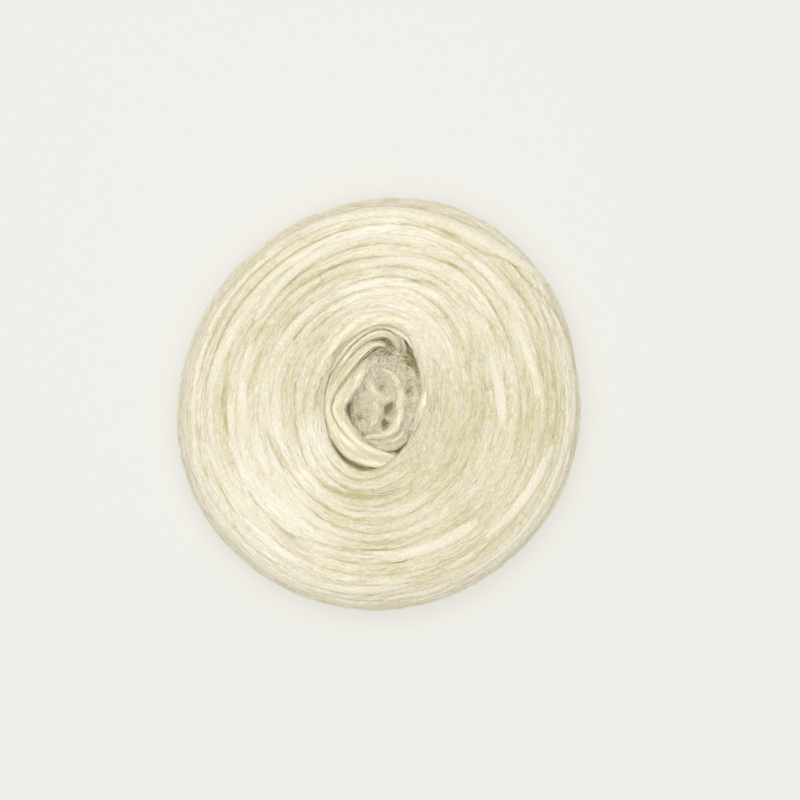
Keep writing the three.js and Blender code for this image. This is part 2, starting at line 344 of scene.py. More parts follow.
@dataclass(frozen=True)
class Winding:
    """How the turns lie on the plate: where the grooves between them run and how deep they are.

    A place on the spiral is a number of turns. The turn that starts there lies between the groove at
    that number and the groove one turn further on. wanders and fadings hold noises, as rows of cells
    in a turn, a start and a size. showing holds how far the grooves show round the plate, at even
    angles from the right. Distances past the rim are in millimetres, from and to.
    """

    form: PlateForm
    wanders: tuple[tuple[float, float, float], ...] = (
        (3.1, 0.0, 0.9), (16.0, 21.0, 0.8), (45.0, 33.0, 0.35), (110.0, 45.0, 0.3),
    )
    fadings: tuple[tuple[float, float, float], ...] = ((6.3, 7.0, 0.8), (15.0, 17.0, 0.7))
    usual_share: float = 0.36
    waves_share: float = 0.8
    least_share: float = 0.02
    greatest_share: float = 1.1
    base_share: float = 0.5
    shallow_past_rim: tuple[float, float] = (18.0, 26.0)
    ride: float = 0.75
    ride_cells: float = 4.3
    ride_middle: float = 0.6
    level_past_rim: tuple[float, float] = (10.0, 20.0)
    sharp_share: float = 0.55
    sharp_reach: float = 0.45
    soft_reach: float = 1.3
    step_reach: float = 0.9
    tuck: float = 3.0
    showing: tuple[float, ...] = (0.3, 0.55, 1.0, 1.25, 1.4, 1.2, 0.75, 0.65, 0.85, 0.95, 0.6, 0.35)
    noise: FibreNoise = FibreNoise(11)
    creases: tuple[Creases, ...] = (
        Creases(24, 3.0, 0.1, 0.48, FibreNoise(12)),
        Creases(40, 2.0, 0.12, 0.38, FibreNoise(13)),
        Creases(86, 1.6, 0.13, 0.34, FibreNoise(14)),
    )

    def angle(self, turns: Array) -> Array:
        """Returns the angle round the plate of a place on the spiral."""
        return math.radians(self.form.start_deg) + FULL_TURN * turns

    def noises(self, turns: Array, rows: Sequence[tuple[float, float, float]]) -> Array:
        """Returns the sum of noises along the spiral."""
        return sum((self.noise(turns * cells, start) - 0.5) * size for cells, start, size in rows)

    def groove(self, turns: Array) -> Array:
        """Returns the distance along the section of the groove at a place on the spiral.

        Args:
            turns: places on the spiral.

        Returns:
            The groove's distances along the section, in millimetres.
        """
        distance = turns * self.form.laid_width
        strayed = sum(wave.at(self.angle(turns), distance) for wave in self.form.straying)
        strayed = strayed + self.noises(turns, self.wanders)
        return distance + strayed * np.clip(turns, 0.0, 1.0)

    def depth(self, turns: Array) -> Array:
        """Returns the depth of the groove at a place on the spiral.

        Args:
            turns: places on the spiral.

        Returns:
            The groove's depths, in millimetres.
        """
        distance = turns * self.form.laid_width
        waves = sum(wave.at(self.angle(turns), distance) for wave in self.form.fading)
        share = self.usual_share + waves * self.waves_share + self.noises(turns, self.fadings)
        share = share * around_plate(self.showing, self.angle(turns))
        share = np.clip(share, self.least_share, self.greatest_share)
        under = self.form.past_rim(distance, *self.shallow_past_rim)
        return self.form.groove_depth * share * lerp(1.0, self.base_share, under)

    def rise(self, turns: Array) -> Array:
        """Returns how far a turn rides above or below its neighbours."""
        on_top = 1.0 - self.form.past_rim(turns * self.form.laid_width, *self.level_past_rim)
        return (self.noise(turns * self.ride_cells, 3.0) - self.ride_middle) * self.ride * on_top

    def profile(self, turns: Array, share: Array) -> Array:
        """Returns the lift across a turn, without its fibres.

        Args:
            turns: places on the spiral.
            share: how far across the turn, from 0 at one groove to 1 at the next.

        Returns:
            The lifts, in millimetres.
        """
        width = self.groove(turns + 1.0) - self.groove(turns)
        rise = self.rise(turns)

        def side(groove: Array, neighbour: Array, away: Array) -> Array:
            """Works out what a groove adds, with half of the step to the turn beyond it.

            Args:
                groove: the groove's places on the spiral.
                neighbour: the places on the turn beyond the groove.
                away: distances from the groove, below 0 beyond it.

            Returns:
                The lifts, in millimetres.
            """
            inside = np.maximum(away, 0.0)
            sharp = np.exp(-inside / self.sharp_reach)
            dip = lerp(np.exp(-((inside / self.soft_reach) ** 2)), sharp, self.sharp_share)
            step = (self.rise(neighbour) - rise) / 2.0 * np.exp(-((inside / self.step_reach) ** 2))
            return step - self.depth(groove) * dip - np.maximum(-away, 0.0) * self.tuck

        near = side(turns, turns - 1.0, share * width)
        far = side(turns + 1.0, turns + 1.0, (1.0 - share) * width)
        return rise + near + far

    def relief(self, angle: Array, distance: Array) -> Array:
        """Returns the lift of the wound surface at an angle and a distance along the section.

        Args:
            angle: angles round the plate, in radians.
            distance: distances along the section, in millimetres.

        Returns:
            The lifts, in millimetres.
        """
        part = ((angle - math.radians(self.form.start_deg)) / FULL_TURN) % 1.0
        whole = np.floor(distance / self.form.laid_width - part)
        whole = np.where(self.groove(whole + part) > distance, whole - 1.0, whole)
        whole = np.where(self.groove(whole + 1.0 + part) <= distance, whole + 1.0, whole)
        turns = whole + part
        near, far = self.groove(turns), self.groove(turns + 1.0)
        share = (distance - near) / np.maximum(far - near, 0.5)
        return self.profile(turns, share) - self.crease_depth(angle, distance)

    def crease_depth(self, angle: Array, distance: Array) -> Array:
        """Returns how deep the creases between the plies are."""
        return sum(crease(angle, distance) for crease in self.creases)


@dataclass(frozen=True)
class Streaks:
    """The fine relief that the fibres give a strand: creases between plies and ridges of fibre."""

    seed: int
    strength: float = 1.0
    noise: FibreNoise = FibreNoise(5)

    def __call__(self, along: Array, across: Array) -> Array:
        """Returns the relief in millimetres at places along and across a strand.

        Args:
            along: millimetres along the strand.
            across: millimetres across the strand.

        Returns:
            The relief, in millimetres.
        """
        noise, start = self.noise, self.seed * 37.0
        lean = (noise(along / 95.0 + start, 0.0) - 0.5) * 7.0
        counter = (noise(along / 60.0 + start, 9.0) - 0.5) * 8.0
        plies = noise(along / 20.0 + start, (across + lean) / 2.3 + 31.0)
        crease = np.exp(-((np.abs(plies - 0.5) / 0.06) ** 2)) * noise(along / 6.0 + start, 13.0)
        broad = noise(along / 8.0 + start, (across + lean) / 1.4 + 57.0) - 0.5
        fine = noise(along / 3.4 + start, (across + counter) / 0.62 + 83.0) - 0.5
        thin = noise(along / 2.0 + start, (across + lean) / 0.42 + 113.0) - 0.5
        return self.strength * (0.12 * broad + 0.11 * fine + 0.1 * thin - 0.12 * crease)


class MeshMaker:
    """Turns arrays of points into Blender meshes with their tone, their strand map and a bake map."""

    TONE = "tone"
    STRAND_MAP = "strand"
    BAKE_MAP = "OFBake"
    BAKE_ROWS_A_COLUMN = 40.0
    BAKE_FILL_ALONG = 0.98
    BAKE_FILL_ACROSS = 0.94

    @staticmethod
    def build(
        name: str,
        points: Array,
        faces: Sequence[Array],
        tone: Array | None = None,
        strand: Array | None = None,
        bake: Array | None = None,
        smooth: Array | None = None,
    ) -> bpy.types.Object:
        """Makes one mesh object.

        Args:
            name: the piece's name.
            points: the vertices in millimetres, as rows of three.
            faces: arrays of vertex numbers, one array for each number of corners.
            tone: one value for each vertex, dark at 0 and bright at 1.
            strand: millimetres along and across the strand, one row for each face corner.
            bake: the bake map's coordinates, one row for each face corner.
            smooth: which faces are shaded smooth, or None for all.

        Returns:
            The new object, linked to the scene.
        """
        mesh = bpy.data.meshes.new(name)
        corners = np.concatenate([f.ravel() for f in faces]).astype(np.int32)
        totals = np.concatenate([np.full(len(f), f.shape[1]) for f in faces])
        starts = np.concatenate([[0], np.cumsum(totals)[:-1]])
        mesh.vertices.add(len(points))
        mesh.vertices.foreach_set("co", (points * MM).astype(np.float32).ravel())
        mesh.loops.add(len(corners))
        mesh.loops.foreach_set("vertex_index", corners)
        mesh.polygons.add(len(totals))
        mesh.polygons.foreach_set("loop_start", starts.astype(np.int32))
        mesh.update(calc_edges=True)
        mesh.shade_smooth()
        if smooth is not None:
            mesh.polygons.foreach_set("use_smooth", smooth)
        if tone is not None:
            layer = mesh.attributes.new(MeshMaker.TONE, "FLOAT", "POINT")
            layer.data.foreach_set("value", tone.astype(np.float32).ravel())
        for label, values in ((MeshMaker.BAKE_MAP, bake), (MeshMaker.STRAND_MAP, strand)):
            if values is not None:
                layer = mesh.uv_layers.new(name=label)
                layer.uv.foreach_set("vector", values.astype(np.float32).ravel())
        mesh.validate()
        made = bpy.data.objects.new(name, mesh)
        bpy.context.scene.collection.objects.link(made)
        return made

    @staticmethod
    def tubes(
        name: str,
        rings: Array,
        tone: Array,
        along: Array,
        across: Array,
        strips: int = 1,
        flat: Sequence[int] = (),
    ) -> bpy.types.Object:
        """Makes closed tubes, all with as many rings and as many points round.

        Args:
            name: the piece's name.
            rings: points in millimetres, by tube, ring, point round and coordinate.
            tone: one value for each point.
            along: millimetres along each tube, by tube and ring.
            across: millimetres round each tube, by tube, ring and point round and one more.
            strips: into how many strips a long single tube is cut on its bake map.
            flat: the numbers round a ring of the faces that aren't shaded smooth.

        Returns:
            The new object.
        """
        count, steps, sides, _ = rings.shape
        base = (np.arange(count) * steps * sides)[:, None, None]
        ring = np.arange(steps - 1)[None, :, None]
        side = np.arange(sides)[None, None, :]
        after = (side + 1) % sides
        quads = np.stack(
            [
                base + ring * sides + side,
                base + ring * sides + after,
                base + (ring + 1) * sides + after,
                base + (ring + 1) * sides + side,
            ],
            axis=-1,
        ).reshape(-1, 4)
        first = base[:, 0] + np.arange(sides)[None, ::-1]
        last = base[:, 0] + (steps - 1) * sides + np.arange(sides)[None, :]
        caps = np.concatenate([first, last])

        along = np.broadcast_to(along[:, :, None], (count, steps, sides + 1))
        places = np.stack([along, across], axis=-1)
        near, far = places[:, :-1], places[:, 1:]
        quad_strand = np.stack([near[..., :-1, :], near[..., 1:, :], far[..., 1:, :], far[..., :-1, :]], -2)
        cap_strand = np.concatenate([places[:, 0, :-1][:, ::-1], places[:, -1, :-1]])
        strand = np.concatenate([quad_strand.reshape(-1, 2), cap_strand.reshape(-1, 2)])

        rows = count * strips
        columns = max(1, int(math.sqrt(rows / MeshMaker.BAKE_ROWS_A_COLUMN)))
        per_strip = math.ceil((steps - 1) / strips)
        tube, step = np.arange(count)[:, None, None], np.arange(steps - 1)[None, :, None]
        cell = tube * strips + step // per_strip
        left = (cell % columns + (step % per_strip) / per_strip * MeshMaker.BAKE_FILL_ALONG) / columns
        right = left + MeshMaker.BAKE_FILL_ALONG / per_strip / columns
        high = math.ceil(rows / columns)
        low_edge = (cell // columns + side / sides * MeshMaker.BAKE_FILL_ACROSS) / high
        top_edge = low_edge + MeshMaker.BAKE_FILL_ACROSS / sides / high
        left, right, low_edge, top_edge = np.broadcast_arrays(left, right, low_edge, top_edge)
        quad_bake = np.stack(
            [
                np.stack([left, low_edge], -1),
                np.stack([left, top_edge], -1),
                np.stack([right, top_edge], -1),
                np.stack([right, low_edge], -1),
            ],
            -2,
        )
        cap_bake = np.full((caps.size, 2), 0.5 / high)
        bake = np.concatenate([quad_bake.reshape(-1, 2), cap_bake])
        round_ring = np.ones(sides, bool)
        round_ring[list(flat)] = False
        smooth = np.concatenate([np.tile(round_ring, count * (steps - 1)), np.ones(len(caps), bool)])
        return MeshMaker.build(name, rings.reshape(-1, 3), [quads, caps], tone, strand, bake, smooth)

    @staticmethod
    def dome(name: str, rings: Array, top: Array, foot: Array, tone: Array) -> bpy.types.Object:
        """Makes a closed lump from rings round a middle, with a point above and one below.

        Args:
            name: the piece's name.
            rings: points in millimetres, by ring from the top down, point round and coordinate.
            top: the point that closes the first ring.
            foot: the point that closes the last ring.
            tone: one value for each of the rings' points.

        Returns:
            The new object.
        """
        count, sides, _ = rings.shape
        ring, side = np.arange(count - 1)[:, None], np.arange(sides)[None, :]
        after = (side + 1) % sides
        quads = np.stack(
            [
                ring * sides + side,
                (ring + 1) * sides + side,
                (ring + 1) * sides + after,
                ring * sides + after,
            ],
            -1,
        ).reshape(-1, 4)
        points = np.vstack([rings.reshape(-1, 3), top, foot])
        high, low = count * sides, count * sides + 1
        around, following = np.arange(sides), (np.arange(sides) + 1) % sides
        base = (count - 1) * sides
        fans = np.concatenate(
            [
                np.stack([np.full(sides, high), around, following], -1),
                np.stack([np.full(sides, low), base + following, base + around], -1),
            ]
        )
        tone = np.concatenate([tone.ravel(), [tone[0].mean(), tone[-1].mean()]])
        corners = np.concatenate([quads.ravel(), fans.ravel()])
        strand = points[corners][:, :2]
        low_corner, high_corner = points[:, :2].min(0), points[:, :2].max(0)
        bake = (strand - low_corner) / (high_corner - low_corner)
        return MeshMaker.build(name, points, [quads, fans], tone, strand, bake)


@dataclass(frozen=True)
class TurnsRun:
    """A stretch of the spiral's turns, made as one ribbed strand with a rounded back."""

    name: str
    first: float
    last: float
    step: float
    points_across: int


@dataclass(frozen=True)
class CarvedGroove:
    """A deep groove that shows on top of the plate, through points in plan."""

    points: tuple[tuple[float, float], ...]
    depth: float
    half_width: float

    def cut(self, points: Array) -> Array:
        """Returns how deep the groove cuts at each point.

        Args:
            points: points in millimetres, with their coordinates along the last axis.

        Returns:
            The depths, in millimetres.
        """
        flat = points[..., :2]
        nearest = np.full(flat.shape[:-1], np.inf)
        reached = np.zeros(flat.shape[:-1])
        route = np.array(self.points)
        total = len(route) - 1
        for number, (a, b) in enumerate(zip(route, route[1:])):
            span = b - a
            share = np.clip(((flat - a) @ span) / (span @ span), 0.0, 1.0)
            away = np.linalg.norm(flat - a - share[..., None] * span, axis=-1)
            closer = away < nearest
            nearest = np.where(closer, away, nearest)
            reached = np.where(closer, (number + share) / total, reached)
        ends = np.sqrt(np.clip(4.0 * reached * (1.0 - reached), 0.0, 1.0))
        return self.depth * ends * np.exp(-((nearest / self.half_width) ** 2))


@dataclass(frozen=True)
class Turns:
    """The wound turns of the roving, from the wall of the eye to the middle of the underside.

    The top is lighter round the plate by values at even angles from the right: partly lighter wool and
    partly painted light and shade, from where the light falls. The side gets painted light that makes it
    lighter. The tones say how much the fibres change the brightness, and how much painted shade darkens
    the hollows of the relief, the carved grooves and the wall of the eye; the buried underside of each
    turn gets painted shade too, which shows in the gaps between turns. hidden holds the faces round a
    turn's section that lie inside the plate.
    """

    form: PlateForm
    winding: Winding
    runs: tuple[TurnsRun, ...] = (
        TurnsRun("turns_at_eye", -2.6, 6.5, 0.9, 28),
        TurnsRun("turns_on_top", 6.5, 12.4, 1.2, 28),
        TurnsRun("turns_on_side", 12.4, 20.0, 2.2, 21),
        TurnsRun("turns_under", 20.0, 33.4, 3.2, 12),
    )
    spacing_steps: int = 20000
    overlap: float = 0.06
    buried: float = 3.0
    belly_places: tuple[float, float] = (0.95, 0.05)
    belly_width: float = 8.0
    # Painted shade on the buried underside, which shows in the gaps between turns.
    belly_shade_tone: float = 0.2
    strip_mm: float = 180.0
    hidden: tuple[int, ...] = (-2, -1, 0, 1, 2)
    edge_mm: float = 0.3
    pits_from: tuple[float, float] = (1.6, 2.6)
    tone: float = 0.8
    fibre_tone: float = 0.8
    # Painted shade: darker wool in the hollows of the relief and the carved grooves, a little lighter on the
    # highest places.
    relief_shade_tone: float = 0.36
    height_limits: tuple[float, float] = (-1.2, 0.3)
    cut_limit: float = 1.5
    # Painted shade down the wall of the eye.
    wall_shade_tone: float = 0.2
    wall_limit: float = 5.0
    # Partly lighter wool and partly painted light and shade, at even angles round the plate.
    paler_and_lit: tuple[float, ...] = (-0.3, 0.02, 0.15, -0.12, -0.12, 0.24, -0.15, -0.26)
    # Painted light on the side of the plate.
    side_painted_light: float = 0.1
    side_light_past_rim: tuple[float, float] = (-30.0, -15.0)
    streaks: Streaks = Streaks(1)
    # How deep these grooves cut also darkens the wool there, as painted shade.
    carved: tuple[CarvedGroove, ...] = (
        CarvedGroove(((-63.6, 33.0), (-67.1, 10.0), (-67.7, -3.0), (-65.6, -13.0), (-61.6, -22.0)), 0.7, 0.8),
        CarvedGroove(((-49.5, -9.2), (-46.9, -17.0), (-44.4, -22.4), (-40.3, -29.0)), 1.0, 0.5),
        CarvedGroove(((-46.9, -54.6), (-27.1, -60.7), (-9.9, -64.2), (14.7, -63.4)), 1.1, 0.8),
        CarvedGroove(((-24.5, -35.2), (-14.5, -39.2), (-5.5, -40.3), (3.0, -39.2), (11.0, -35.8)), 1.5, 1.1),
        CarvedGroove(((9.5, 66.4), (20.9, 64.9), (31.0, 61.3), (39.8, 57.3), (43.8, 52.8)), 0.9, 0.6),
        CarvedGroove(((9.5, 53.7), (19.6, 53.7), (26.6, 51.2)), 0.9, 0.6),
        CarvedGroove(((18.8, 78.7), (26.3, 77.4), (33.8, 73.0), (41.7, 69.0), (48.3, 65.1)), 1.3, 0.9),
        CarvedGroove(((46.0, 66.0), (55.8, 64.2), (60.6, 60.7), (64.1, 56.3), (68.1, 51.9)), 1.6, 0.8),
        CarvedGroove(
            ((62.0, 58.5), (68.1, 51.9), (73.4, 47.5), (77.3, 42.2), (80.9, 36.5), (83.9, 28.5)), 1.3, 0.8
        ),
        CarvedGroove(
            ((12.0, 87.0), (18.8, 86.2), (28.9, 83.1), (39.1, 79.1), (46.5, 77.4), (51.9, 73.0)), 1.1, 0.7
        ),
        CarvedGroove(
            ((49.0, 63.8), (51.8, 60.7), (56.7, 55.4), (64.1, 45.3), (69.4, 36.5), (72.5, 30.3)), 0.8, 0.6
        ),
    )
    # How deep these pits cut also darkens the wool there, as painted shade.
    pits: tuple[CarvedGroove, ...] = (
        CarvedGroove(((11.6, 28.0), (14.6, 24.4), (16.4, 20.6)), 3.4, 1.3),
        CarvedGroove(((-0.4, 27.2), (2.6, 26.2), (4.4, 23.2)), 3.4, 1.4),
        CarvedGroove(((7.0, -21.4), (11.2, -22.3)), 3.0, 0.9),
    )

    def spots(self, run: TurnsRun) -> tuple[Array, Array]:
        """Spaces the rings evenly along the spiral.

        Args:
            run: the stretch of turns.

        Returns:
            The rings' places on the spiral, in turns, and along it, in millimetres.
        """
        start, end = self.runs[0].first, self.runs[-1].last
        turns = np.linspace(start, end, self.spacing_steps)
        reach = self.form.reach(self.winding.angle(turns), self.winding.groove(turns))
        along = np.concatenate([[0.0], np.cumsum(np.diff(turns) * FULL_TURN * reach[1:])])
        first, last = np.interp([run.first, run.last], turns, along)
        places = np.linspace(first, last, int((last - first) / run.step) + 1)
        return np.interp(places, along, turns), places

    def strand(self, run: TurnsRun) -> bpy.types.Object:
        """Makes one stretch of the turns.

        Args:
            run: the stretch of turns.

        Returns:
            The stretch's piece.
        """
        turns, along = self.spots(run)
        share = np.linspace(0.0, 1.0, run.points_across - 2)
        share = np.concatenate([[-self.overlap], share, [1.0 + self.overlap]])[None, :]
        turns, along = turns[:, None], along[:, None]
        near, far = self.winding.groove(turns), self.winding.groove(turns + 1.0)
        distance = lerp(near, far, share)
        angle = self.winding.angle(turns)
        across = distance - near
        inside = np.minimum(share, 1.0 - share) * (far - near)
        fibres = self.streaks(along, across) * smoothstep(inside, 0.0, self.edge_mm)
        smooth = self.winding.profile(turns, share) - self.winding.crease_depth(angle, distance)
        points = self.form.point(angle, distance, smooth + fibres)
        cut = np.zeros(smooth.shape)
        if run.first < self.form.rim_distance / self.form.laid_width:
            cut = sum(groove.cut(points) for groove in self.carved)
            pits = sum(pit.cut(points) for pit in self.pits)
            cut = cut + pits * smoothstep(-distance, *self.pits_from)
        back = self.form.point(angle, distance, smooth + fibres - cut)
        ends = lerp(near, far, np.array([self.belly_places]))
        belly = self.form.point(angle, ends, np.full(ends.shape, -self.buried))
        rings = np.concatenate([back, belly], axis=1)[None, :, ::-1]
        bright = self.brightness(angle, distance, fibres, smooth, cut)
        # The buried underside gets painted shade.
        tone = np.concatenate([bright, np.full(ends.shape, self.belly_shade_tone)], axis=1)[None, :, ::-1]
        width = np.concatenate([across, np.full((len(across), 3), self.belly_width)], axis=1)[None, :, ::-1]
        strips = max(1, int(len(along) * run.step / self.strip_mm))
        return MeshMaker.tubes(run.name, rings, tone, along[None, :, 0], width, strips, self.hidden)

    def brightness(self, angle: Array, distance: Array, fibres: Array, smooth: Array, cut: Array) -> Array:
        """Works out how bright the wool of the turns is.

        Args:
            angle: angles round the plate, in radians.
            distance: distances along the section, in millimetres.
            fibres: the fine relief of the fibres.
            smooth: the lift without that relief.
            cut: the depth of the carved grooves.

        Returns:
            The tones, dark at 0 and bright at 1.
        """
        bright = self.tone + self.fibre_tone * fibres
        # Painted shade in the hollows of the relief and the carved grooves, painted light on the highest
        # places.
        bright += self.relief_shade_tone * (np.clip(smooth, *self.height_limits) - np.minimum(cut, self.cut_limit))
        # Painted shade, deeper down the wall of the eye.
        bright -= self.wall_shade_tone * np.clip(-distance, 0.0, self.wall_limit)
        # Painted light and shade round the top, partly lighter wool, and painted light on the side.
        on_side = self.form.past_rim(distance, *self.side_light_past_rim)
        return bright + lerp(around_plate(self.paler_and_lit, angle), self.side_painted_light, on_side)

    def build(self) -> list[bpy.types.Object]:
        """Makes all the turns."""
        return [self.strand(run) for run in self.runs]


@dataclass(frozen=True)
class Body:
    """The wound wool below the turns, which closes the floor of the eye and the plate's middle.

    floor_rings holds rows of a share of the pit and a height above its floor.
    """

    form: PlateForm
    sunk: float = 2.3
    steps: int = 160
    sections: int = 70
    floor_rings: tuple[tuple[float, float], ...] = ((0.35, 0.0), (0.85, 0.0), (0.95, 2.0), (1.0, 4.0))
    foot_height: float = 5.0
    # Painted shade: the body is dark, for it shows deep in the eye and between the turns.
    tone: float = 0.1

    def build(self) -> bpy.types.Object:
        """Makes the body.

        Returns:
            The body's piece.
        """
        form, pit = self.form, self.form.pit
        angle = np.linspace(0.0, FULL_TURN, self.steps, endpoint=False)
        floor = [
            form.placed(*pit.place(angle, share), form.pit_floor_height + height)
            for share, height in self.floor_rings
        ]
        distances = np.linspace(form.first, form.last, self.sections)
        rings = np.stack([*floor, *(form.point(angle, distance, -self.sunk) for distance in distances)])
        top = form.placed(pit.x, pit.y, form.pit_floor_height)
        foot = form.placed(form.eye.x, form.eye.y, self.foot_height)
        return MeshMaker.dome("wound_body", rings, top, foot, np.full(rings.shape[:2], self.tone))


@dataclass(frozen=True)
class Ply:
    """A flat ply that lies slantwise over the turns.

    path holds rows of an angle in degrees, an inset from the outline in millimetres, and the share of
    the ply's rise there.
    """

    path: tuple[tuple[float, float, float], ...]
    width: float
    rise: float


@dataclass(frozen=True)
class SlantingPlies:
    """Plies that cross the turns at a small angle: the last turn, and thinner ones that merge."""

    form: PlateForm
    name: str
    plies: tuple[Ply, ...]
    step: float = 1.1
    points_across: int = 26
    buried: float = 2.6
    least_steps: int = 8
    end_width: float = 0.55
    back_power: float = 2.6
    back_rise: float = 0.9
    sunk: float = 1.5
    raised: float = 0.6
    fibre_rise: float = 0.8
    belly_places: tuple[float, float] = (0.9, -0.9)
    # Painted shade on the buried underside of the plies.
    belly_shade_tone: float = 0.3
    tone: float = 0.76
    fibre_tone: float = 0.7
    # Painted shade along the ply's edges, where it meets the turns.
    edge_shade_tone: float = 0.25
    edge_power: int = 6
    streaks_apart: float = 400.0
    streaks_start: float = 20.0
    streaks: Streaks = Streaks(2)

    def build(self) -> bpy.types.Object:
        """Makes the plies as one piece.

        Returns:
            The joined piece.
        """
        made = [self.one(number, ply) for number, ply in enumerate(self.plies)]
        if len(made) > 1:
            with bpy.context.temp_override(
                active_object=made[0], selected_editable_objects=made, selected_objects=made
            ):
                bpy.ops.object.join()
        made[0].name = self.name
        return made[0]

    def one(self, number: int, ply: Ply) -> bpy.types.Object:
        """Makes one ply.

        Args:
            number: which ply it is, which picks its fibres.
            ply: the ply.

        Returns:
            The ply's piece.
        """
        rows = np.array(ply.path)
        length = math.radians(rows[-1, 0] - rows[0, 0]) * self.form.radius
        u = np.linspace(0.0, 1.0, max(self.least_steps, int(abs(length) / self.step)))
        knots = np.linspace(0.0, 1.0, len(rows))
        smooth = np.stack([soft_interp(u, knots, column) for column in rows.T], -1)
        angle = np.radians(smooth[:, :1])
        middle = self.form.distance_of(smooth[:, 1:2])
        share = np.clip(smooth[:, 2:], 0.0, 1.0)
        aside = np.linspace(-1.0, 1.0, self.points_across)[None, :]
        half = ply.width / 2.0 * lerp(self.end_width, 1.0, share)
        along = (u * abs(length))[:, None]
        across = aside * half
        fibres = self.streaks(along + number * self.streaks_apart, across + self.streaks_start)
        crown = (1.0 - np.abs(aside) ** self.back_power) * (ply.rise + self.back_rise) * share
        lift = crown - self.sunk + self.raised * share + fibres * self.fibre_rise
        back = self.form.point(angle, middle + across, lift)
        edges = np.array([self.belly_places]) * half
        belly = self.form.point(angle, middle + edges, np.full(edges.shape, -self.buried))
        rings = np.concatenate([back, belly], axis=1)[None, :, ::-1]
        # Painted shade along the edges, where the ply meets the turns.
        bright = self.tone + self.fibre_tone * fibres - self.edge_shade_tone * np.abs(aside) ** self.edge_power
        # The buried underside gets painted shade.
        tone = np.concatenate([bright, np.full(edges.shape, self.belly_shade_tone)], axis=1)[None, :, ::-1]
        width = np.concatenate([across, np.full((len(u), 3), ply.width)], axis=1)[None, :, ::-1]
        return MeshMaker.tubes(f"ply_{number}", rings, tone, along[None, :, 0], width)


def soft_interp(at: Array, knots: Array, values: Array) -> Array:
    """Runs a smooth curve through values at even knots, and reads it.

    Args:
        at: places between the knots.
        knots: the knots, evenly spaced.
        values: the values at the knots.

    Returns:
        The curve's value at each place.
    """
    slopes = np.gradient(values, knots)
    index = np.clip(np.searchsorted(knots, at, side="right") - 1, 0, len(knots) - 2)
    width = knots[index + 1] - knots[index]
    t = (at - knots[index]) / width
    low, high = values[index], values[index + 1]
    rise_low, rise_high = slopes[index] * width, slopes[index + 1] * width
    return (
        (2 * t**3 - 3 * t**2 + 1) * low
        + (t**3 - 2 * t**2 + t) * rise_low
        + (3 * t**2 - 2 * t**3) * high
        + (t**3 - t**2) * rise_high
    )


@dataclass(frozen=True)
class Patch:
    """A stretch of the wound surface that fibres are strewn over.

    first and last are distances along the section. length, width and lift hold the least and the
    greatest, in millimetres.
    """

    name: str
    count: int
    first: float
    last: float
    length: tuple[float, float]
    width: tuple[float, float]
    lift: tuple[float, float]
    slant_deg: float
    seed: int


@dataclass(frozen=True)
class SurfaceFibres:
    """Thin tapered wisps and single fibres that lie along the turns and stand off them a little."""

    form: PlateForm
    winding: Winding
    patch: Patch
    steps: int = 11
    sides: int = 3
    flat: float = 1.0
    bend_mm: float = 0.6
    least_reach: float = 8.0
    blunt: tuple[float, float] = (0.04, 0.96)
    tones: tuple[float, float] = (0.7, 1.1)
    map_shift: float = 9.0

    def build(self) -> bpy.types.Object:
        """Makes the fibres as one piece.

        Returns:
            The fibres' piece.
        """
        patch = self.patch
        rng = np.random.default_rng(patch.seed)
        count = patch.count
        distance = rng.uniform(patch.first, patch.last, count)[:, None]
        angle = rng.uniform(0.0, FULL_TURN, count)[:, None]
        length = rng.uniform(*patch.length, count)[:, None]
        width = rng.uniform(*patch.width, count)[:, None] / 2.0
        arch = rng.uniform(*patch.lift, count)[:, None]
        slant = np.radians(rng.normal(0.0, patch.slant_deg, count))[:, None]
        bend = rng.normal(0.0, self.bend_mm, count)[:, None]
        u = np.linspace(0.0, 1.0, self.steps)[None, :]
        reach = np.maximum(self.form.reach(angle, distance), self.least_reach)
        angles = angle + (u - 0.5) * length * np.cos(slant) / reach
        middles = distance + (u - 0.5) * length * np.sin(slant) + bend * np.sin(math.pi * u)
        middles = np.clip(middles, self.form.first, self.form.last)
        relief = self.winding.relief(angles, middles)
        level = (relief + np.roll(relief, 1, 1) + np.roll(relief, -1, 1)) / 3.0
        level[:, 0], level[:, -1] = relief[:, 0], relief[:, -1]
        taper = np.sqrt(np.sin(math.pi * np.clip(u, *self.blunt)))
        lift = level + arch * np.sin(math.pi * u) + width * self.flat
        turn = FULL_TURN * np.arange(self.sides) / self.sides
        size = (width * taper)[..., None]
        spot = middles[..., None] + size * np.cos(turn)
        raised = lift[..., None] + size * self.flat * np.sin(turn)
        rings = self.form.point(angles[..., None], spot, raised)
        shade = rng.uniform(*self.tones, count)[:, None, None]
        tone = np.broadcast_to(shade, rings.shape[:-1])
        along = length * u + distance * self.map_shift
        across = np.broadcast_to(np.linspace(0.0, 1.0, self.sides + 1), (count, self.steps, self.sides + 1))
        return MeshMaker.tubes(patch.name, rings, tone, along, across)


def smooth_route(points: Sequence[Sequence[float]], count: int) -> Array:
    """Runs a smooth curve through a route's points and spaces new points evenly along it.

    Args:
        points: the route's points.
        count: how many new points there are.

    Returns:
        The new points, as rows of three.
    """
    rows = np.array(points, float)
    knots = np.arange(len(rows), dtype=float)
    fine = np.linspace(0.0, len(rows) - 1.0, len(rows) * 40)
    curve = np.stack([soft_interp(fine, knots, column) for column in rows.T], -1)
    along = lengths_along(curve)
    places = np.linspace(0.0, along[-1], count)
    return np.stack([np.interp(places, along, column) for column in curve.T], -1)


def lengths_along(path: Array) -> Array:
    """Returns how far along a path each of its points lies."""
    return np.concatenate([[0.0], np.cumsum(np.linalg.norm(np.diff(path, axis=0), axis=1))])


